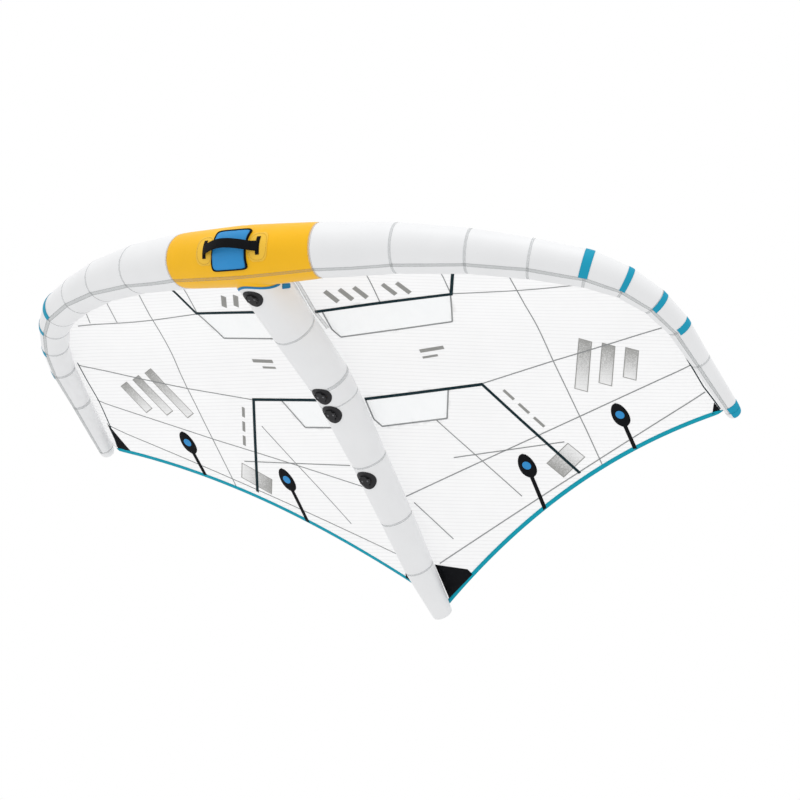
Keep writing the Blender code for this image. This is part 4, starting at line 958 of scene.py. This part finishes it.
# Edge tapes: a dark tape along each tip, where the canopy runs in behind the tube, and teal cloth
# folded over the whole hollow trailing edge.
TIP_EDGE = [(1.474, -0.1), (1.466, 0.09), (1.478, 0.22), (1.502, 0.335)]
TIP_EDGE_WIDTH, TIP_EDGE_THICKNESS = 0.005, 0.0012
EDGE_WIDTH, EDGE_OVERHANG, EDGE_THICKNESS = 0.02, 0.0045, 0.002
# The tape stops just short of the tips, and its way forwards is taken a little in from the edge.
EDGE_SPAN, EDGE_INSIDE = 0.9995, 0.985
for side, sign in SIDES:
    tip_edge = cloth_strip(f"tip_edge_tape_{side}", [(sign * x, y) for x, y in TIP_EDGE],
                           TIP_EDGE_WIDTH, TIP_EDGE_THICKNESS, 1)
    finish_with(tip_edge, navy_tape)


def tape_place(u, v):
    share = 0.5 + (v - 0.5) * EDGE_SPAN
    edge, inside = canopy_place(share, 1.0), canopy_place(share, EDGE_INSIDE)
    way = (inside - edge).normalized()
    return edge + way * (EDGE_WIDTH * u - EDGE_OVERHANG)


teal_tape = cloth_finish("teal_edge_tape", (0.003, 0.35, 0.47), 0.55, mottle=0.06, gloss=0.1)
tape = grid_piece("trailing_tape", 2, 200, tape_place, (EDGE_WIDTH, 3.4))
finish_with(thicken(tape, EDGE_THICKNESS), teal_tape)
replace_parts(tape, "trailing_edge_tape")

# Strut fittings: four moulded pads of grained black plastic, bonded under the strut, and the valve
# of the same plastic. Each fitting is held by two blackened steel screws with a round socket.
# Each row holds the middle of a fitting's flat face and the way it faces.
FITTING_FACES = [((-0.709758, -0.189734), (0, 0.05895, -0.99826)),
                 ((-0.151501, -0.150254), (0, -0.04725, -0.99888)),
                 ((-0.059284, -0.15502), (0, -0.12033, -0.99273)),
                 ((0.271299, -0.185058), (0, -0.14287, -0.98974))]
SCREW_PLACE, SCREW_SINK = 0.013, 0.0018
SCREW_RADIUS, SCREW_HEIGHT = 0.0042, 0.002
SCREW_RIM, SCREW_CROWN = 0.0006, 0.0004
SOCKET_RIM, SOCKET_DEPTH = 0.0015, 0.0011
grained = Finish("grained_black_plastic", 0.5, 0.25)
grain = grained.noise(900, 3)
grained.surface("Base Color", grained.mixed(grain, (0.007, 0.007, 0.008), (0.02, 0.02, 0.023)))
grained.surface("Normal", grained.relief(grain, 0.35, 0.0003))
for name in ("strut_fitting_1", "strut_fitting_2", "strut_fitting_3", "strut_fitting_4",
             "valve_body", "valve_cap"):
    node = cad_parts[name]
    node.data.materials.clear()
    node.data.materials.append(grained.material)

steel = Finish("blackened_steel")
brush = steel.noise(2500)
steel.surface("Metallic", 1)
steel.surface("Base Color", steel.mixed(brush, (0.12, 0.12, 0.13), (0.2, 0.2, 0.21)))
steel.surface("Roughness", steel.spread(brush, 0.2, 0.4))
screws = []
for (face_y, face_z), way in FITTING_FACES:
    down = Vector(way)
    for x in (-SCREW_PLACE, SCREW_PLACE):
        screw = disc(24, SCREW_RADIUS, SCREW_HEIGHT,
                     Vector((x, face_y, face_z)) - down * SCREW_SINK, down)
        bpy.ops.object.mode_set(mode="EDIT")
        bpy.ops.mesh.select_mode(type="FACE")
        bpy.ops.mesh.select_all(action="DESELECT")
        bpy.ops.object.mode_set(mode="OBJECT")
        for face in screw.data.polygons:
            face.select = face.normal.dot(down) > 0.99
        bpy.ops.object.mode_set(mode="EDIT")
        bpy.ops.mesh.inset(thickness=SCREW_RIM)
        bpy.ops.transform.translate(value=down * SCREW_CROWN)
        bpy.ops.mesh.inset(thickness=SOCKET_RIM)
        bpy.ops.transform.translate(value=-down * SOCKET_DEPTH)
        bpy.ops.object.mode_set(mode="OBJECT")
        screws.append(screw)
finish_with(joined("fitting_screws", screws), steel)

# Grab handle on the leading edge: a foam pad with bound edges, two stitched oval patches, and a
# webbing strap that arches over the pad between its sewn ends.
HANDLE_ANGLE = math.radians(-147.6)
HANDLE_MIDDLE = -0.008
PAD_ANGLE, PAD_SPAN = math.radians(-146.1), math.radians(79)
PAD_HALF, PAD_WAIST = 0.0825, 0.007
# The pad's middle lies to the left, and further so towards its lower edge.
PAD_LEFT, PAD_LEAN = 0.0035, 0.004
PAD_LIFT, PAD_CROWN, PAD_THICKNESS = 0.003, 0.0055, 0.0025
BINDING_WIDTH, BINDING_LIFT, BINDING_HEIGHT, BINDING_RADIUS = 0.0065, 0.0012, 0.0085, 0.125
PATCH_MIDDLE, OVAL_REACH, OVAL_TURN = 0.124, 0.042, math.radians(30)
OVAL_LIFT, OVAL_THICKNESS = 0.0008, 0.0008
STITCHES, STITCH_SHARE, STITCH_LIFT, STITCH_THICKNESS = 44, 0.62, 0.0015, 0.0006
STITCH_REACH, STITCH_TURN = 0.039, math.radians(28.5)
STITCH_INSIDE, STITCH_WIDTH = 0.93, 0.02
WEBBING_WIDTH = 0.038
BAR_HALF, BAR_UP, BAR_DOWN = 0.008, math.radians(19.5), math.radians(16.5)
BAR_LIFT, BAR_THICKNESS = 0.0022, 0.0018
FOOT_PLACE, FOOT_TURN, FOOT_LIFT, FOOT_THICKNESS = 0.127, 0.345, 0.0035, 0.0024
STRAP_HALF, STRAP_LIFT, STRAP_THICKNESS = 0.111, 0.009, 0.0026
STRAP_ARCH, STRAP_DROOP, STRAP_LEAN = 0.037, 0.0012, 0.008
FOOT_OVERLAP = 0.0002


def on_sleeve(x, angle, lift):
    """A point on the sleeve, by its place from the middle and its angle round the tube."""
    return leading_edge.skin(MIDDLE + x / RING_SEAMS[1][0], angle, lift)


def pad_middle(across):
    return HANDLE_MIDDLE - PAD_LEFT - PAD_LEAN * across


def pad_half(across):
    """Half the pad's length, which is least half way up it."""
    return PAD_HALF - PAD_WAIST * (1 - across * across)


def rounded(turn, power):
    """A point on a rounded square, by its angle round it."""
    return [math.copysign(abs(value) ** power, value) for value in (math.cos(turn), math.sin(turn))]


def pad_place(u, v):
    """The pad's outer face, rounded down to the tube at its edges."""
    across, along = 2 * u - 1, 2 * v - 1
    edge = min(1 - abs(across) ** 6, 1 - abs(along) ** 8)
    if across or along:
        drawn_in = (abs(across) ** 10 + abs(along) ** 10) ** 0.1
        drawn_in = max(abs(across), abs(along)) / drawn_in
        across, along = across * drawn_in, along * drawn_in
    return on_sleeve(pad_middle(across) + along * pad_half(across),
                     PAD_ANGLE + across * PAD_SPAN / 2,
                     PAD_LIFT + PAD_CROWN * math.sqrt(max(edge, 0)))


pad = grid_piece("foam_pad", 28, 28, pad_place, (0.17, 0.156))
finish_with(thicken(pad, PAD_THICKNESS), blue_cloth)
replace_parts(pad, "handle_pad")


def binding_place(u, v):
    """The bound edge: a rounded tape that follows the pad's outline."""
    across, along = rounded(math.tau * v, 0.2)
    width = BINDING_WIDTH * (u - 0.4)
    x = pad_middle(across) + along * (pad_half(across) + width)
    angle = PAD_ANGLE + across * (PAD_SPAN / 2 + width / BINDING_RADIUS)
    return on_sleeve(x, angle, BINDING_LIFT + BINDING_HEIGHT * math.sqrt(math.sin(math.pi * u)))


binding = grid_piece("pad_binding_tape", 8, 160, binding_place, (0.012, 0.6))
finish_with(binding, webbing)
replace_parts(binding, "handle_pad_binding")

stitch_tan = cloth_finish("tan_thread", (0.42, 0.21, 0.03), 0.6, weave=1500, mottle=0.1)
patch_cloth = cloth_finish("yellow_patch_cloth", (0.9, 0.54, 0.045), 0.5, mottle=0.05)
handle_out = Vector((0, math.cos(HANDLE_ANGLE), math.sin(HANDLE_ANGLE)))
handle_across = Vector((0, -math.sin(HANDLE_ANGLE), math.cos(HANDLE_ANGLE)))
handle_base = (leading_edge.centres[MIDDLE] + handle_out * NOSE_RADIUS
               + Vector((HANDLE_MIDDLE, 0, 0)))
stitches, ovals = [], []
for side, sign in SIDES:
    end_middle = HANDLE_MIDDLE + sign * PATCH_MIDDLE

    def patch_place(u, v):
        across = 2 * u - 1
        reach = OVAL_REACH * math.sqrt(1 - 0.8 * across ** 4)
        return on_sleeve(end_middle + (2 * v - 1) * reach, HANDLE_ANGLE + across * OVAL_TURN,
                         OVAL_LIFT)

    patch = grid_piece(f"handle_oval_{side}", 24, 12, patch_place, (0.12, 0.09))
    finish_with(thicken(patch, OVAL_THICKNESS), patch_cloth)
    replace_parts(patch, f"handle_patch_{side}")
    ovals.append(patch)

    for number in range(STITCHES):
        def stitch_place(u, v):
            across, along = rounded(math.tau * (number + STITCH_SHARE * v) / STITCHES, 0.75)
            scale = STITCH_INSIDE + STITCH_WIDTH * u
            return on_sleeve(end_middle + along * scale * STITCH_REACH,
                             HANDLE_ANGLE + across * scale * STITCH_TURN, STITCH_LIFT)

        stitch = grid_piece("stitch", 1, 2, stitch_place, (0.001, 0.004))
        stitches.append(thicken(stitch, STITCH_THICKNESS))

    bar_start, bar_end = [MIDDLE + (end_middle + half) / RING_SEAMS[1][0]
                          for half in (-BAR_HALF, BAR_HALF)]
    bar = wrap_piece(f"strap_end_{side}", leading_edge, bar_start, bar_end, HANDLE_ANGLE - BAR_UP,
                     HANDLE_ANGLE + BAR_DOWN, BAR_LIFT, BAR_THICKNESS, 3, 12)

    def foot_place(u, v):
        sewn = on_sleeve(HANDLE_MIDDLE + sign * FOOT_PLACE, HANDLE_ANGLE + FOOT_TURN * (u - 0.5),
                         FOOT_LIFT)
        raised = (handle_base + Vector((sign * (STRAP_HALF + FOOT_OVERLAP), 0, 0))
                  + handle_out * STRAP_LIFT + handle_across * WEBBING_WIDTH * (u - 0.5))
        return sewn.lerp(raised, v)

    foot = thicken(grid_piece("foot", 6, 8, foot_place, (WEBBING_WIDTH, 0.02)), FOOT_THICKNESS)
    end = joined(f"strap_end_{side}", [bar, foot])
    finish_with(end, webbing)
    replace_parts(end, f"handle_strap_end_{side}")
finish_with(joined("handle_stitching", stitches), stitch_tan)


def strap_place(u, v):
    """The strap's arch between its two ends, which leans forwards and up at its middle."""
    share = 2 * v - 1
    arch = math.cos(share * math.pi / 2)
    droop = STRAP_DROOP * (2 * u - 1) ** 2
    return (handle_base + Vector((share * STRAP_HALF, 0, 0))
            + handle_out * (STRAP_LIFT + STRAP_ARCH * arch - droop)
            + handle_across * (WEBBING_WIDTH * (u - 0.5) - STRAP_LEAN * arch))


strap = grid_piece("grab_strap", 8, 48, strap_place, (WEBBING_WIDTH, 0.24))
finish_with(thicken(strap, STRAP_THICKNESS), webbing, "strap")
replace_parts(strap, "handle_strap")

# Bladder opening: a yellow collar of the sleeve's cloth over the front of the strut, a blue binding
# round its edge, and the pull tab sewn beside it.
COLLAR_TURN = (math.radians(-170), math.radians(-10))
COLLAR_REACH, COLLAR_TUCK = 0.0185, 0.002
TAB_LENGTH, TAB_WIDTH, TAB_THICKNESS = 0.045, 0.02, 0.0022
# The tab's end is rounded from this share of its length on.
TAB_ROUND_FROM = 0.85
TAB_FOOT = Vector((0.09363, -0.692391, -0.098197))
TAB_OUT = Vector((0.991445, 0.008018, -0.13028))
TAB_ALONG = Vector((0.096784, 0.624533, 0.774979))
TAB_ACROSS = TAB_OUT.cross(TAB_ALONG)


def collar_piece(name, rows, first, last, lift, thickness):
    """Cloth round the underside of the strut, between two distances behind the leading edge."""
    def place(u, v):
        angle = mix(*COLLAR_TURN, v)
        height = strut.ring(0, angle).z - NOSE.z
        back = math.sqrt((NOSE_RADIUS + COLLAR_REACH) ** 2 - height ** 2) + mix(first, last, u)
        surface_back = math.sqrt(max(NOSE_RADIUS ** 2 - height ** 2, 0)) - COLLAR_TUCK
        return strut.skin(max(back, surface_back) / FIRST_PANEL, angle, lift, False)

    return thicken(grid_piece(name, rows, 36, place, (0.03, 0.25)), thickness)


collar = collar_piece("opening_collar", 6, first=-0.08, last=0.002, lift=0.001, thickness=0.0008)
finish_with(collar, yellow_cloth)
band = collar_piece("opening_tape", 3, first=-0.004, last=0.008, lift=0.0013, thickness=0.0018)
binding_blue = cloth_finish("blue_binding_cloth", (0.006, 0.19, 0.42), 0.55, weave=450,
                            weave_depth=0.4)
finish_with(band, binding_blue)
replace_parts(band, "opening_binding")


def tab_place(u, v):
    past = max(v - TAB_ROUND_FROM, 0) / (1 - TAB_ROUND_FROM)
    ease = math.sqrt(1 - 0.6 * past ** 2)
    return TAB_FOOT + TAB_ALONG * TAB_LENGTH * v + TAB_ACROSS * TAB_WIDTH * (u - 0.5) * ease


tab = thicken(grid_piece("pull_tab", 6, 20, tab_place, (TAB_WIDTH, TAB_LENGTH)), TAB_THICKNESS)
finish_with(tab, binding_blue, "tab")
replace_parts(tab, "opening_pull_tab")

# Hose: the short tube of bladder film that lets the air pass from the leading edge's bladder to the
# strut's. It is hidden inside them and keeps its CAD mesh.
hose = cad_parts["one_pump_hose"]
hose.data.materials.clear()
hose.data.materials.append(bladder_film.material)

# Which pieces are sheets, how they are held and what size they were cut to, and then the boxes
# of the CAD and of what is shown.
for pane in panes:
    front = "front" in pane.name
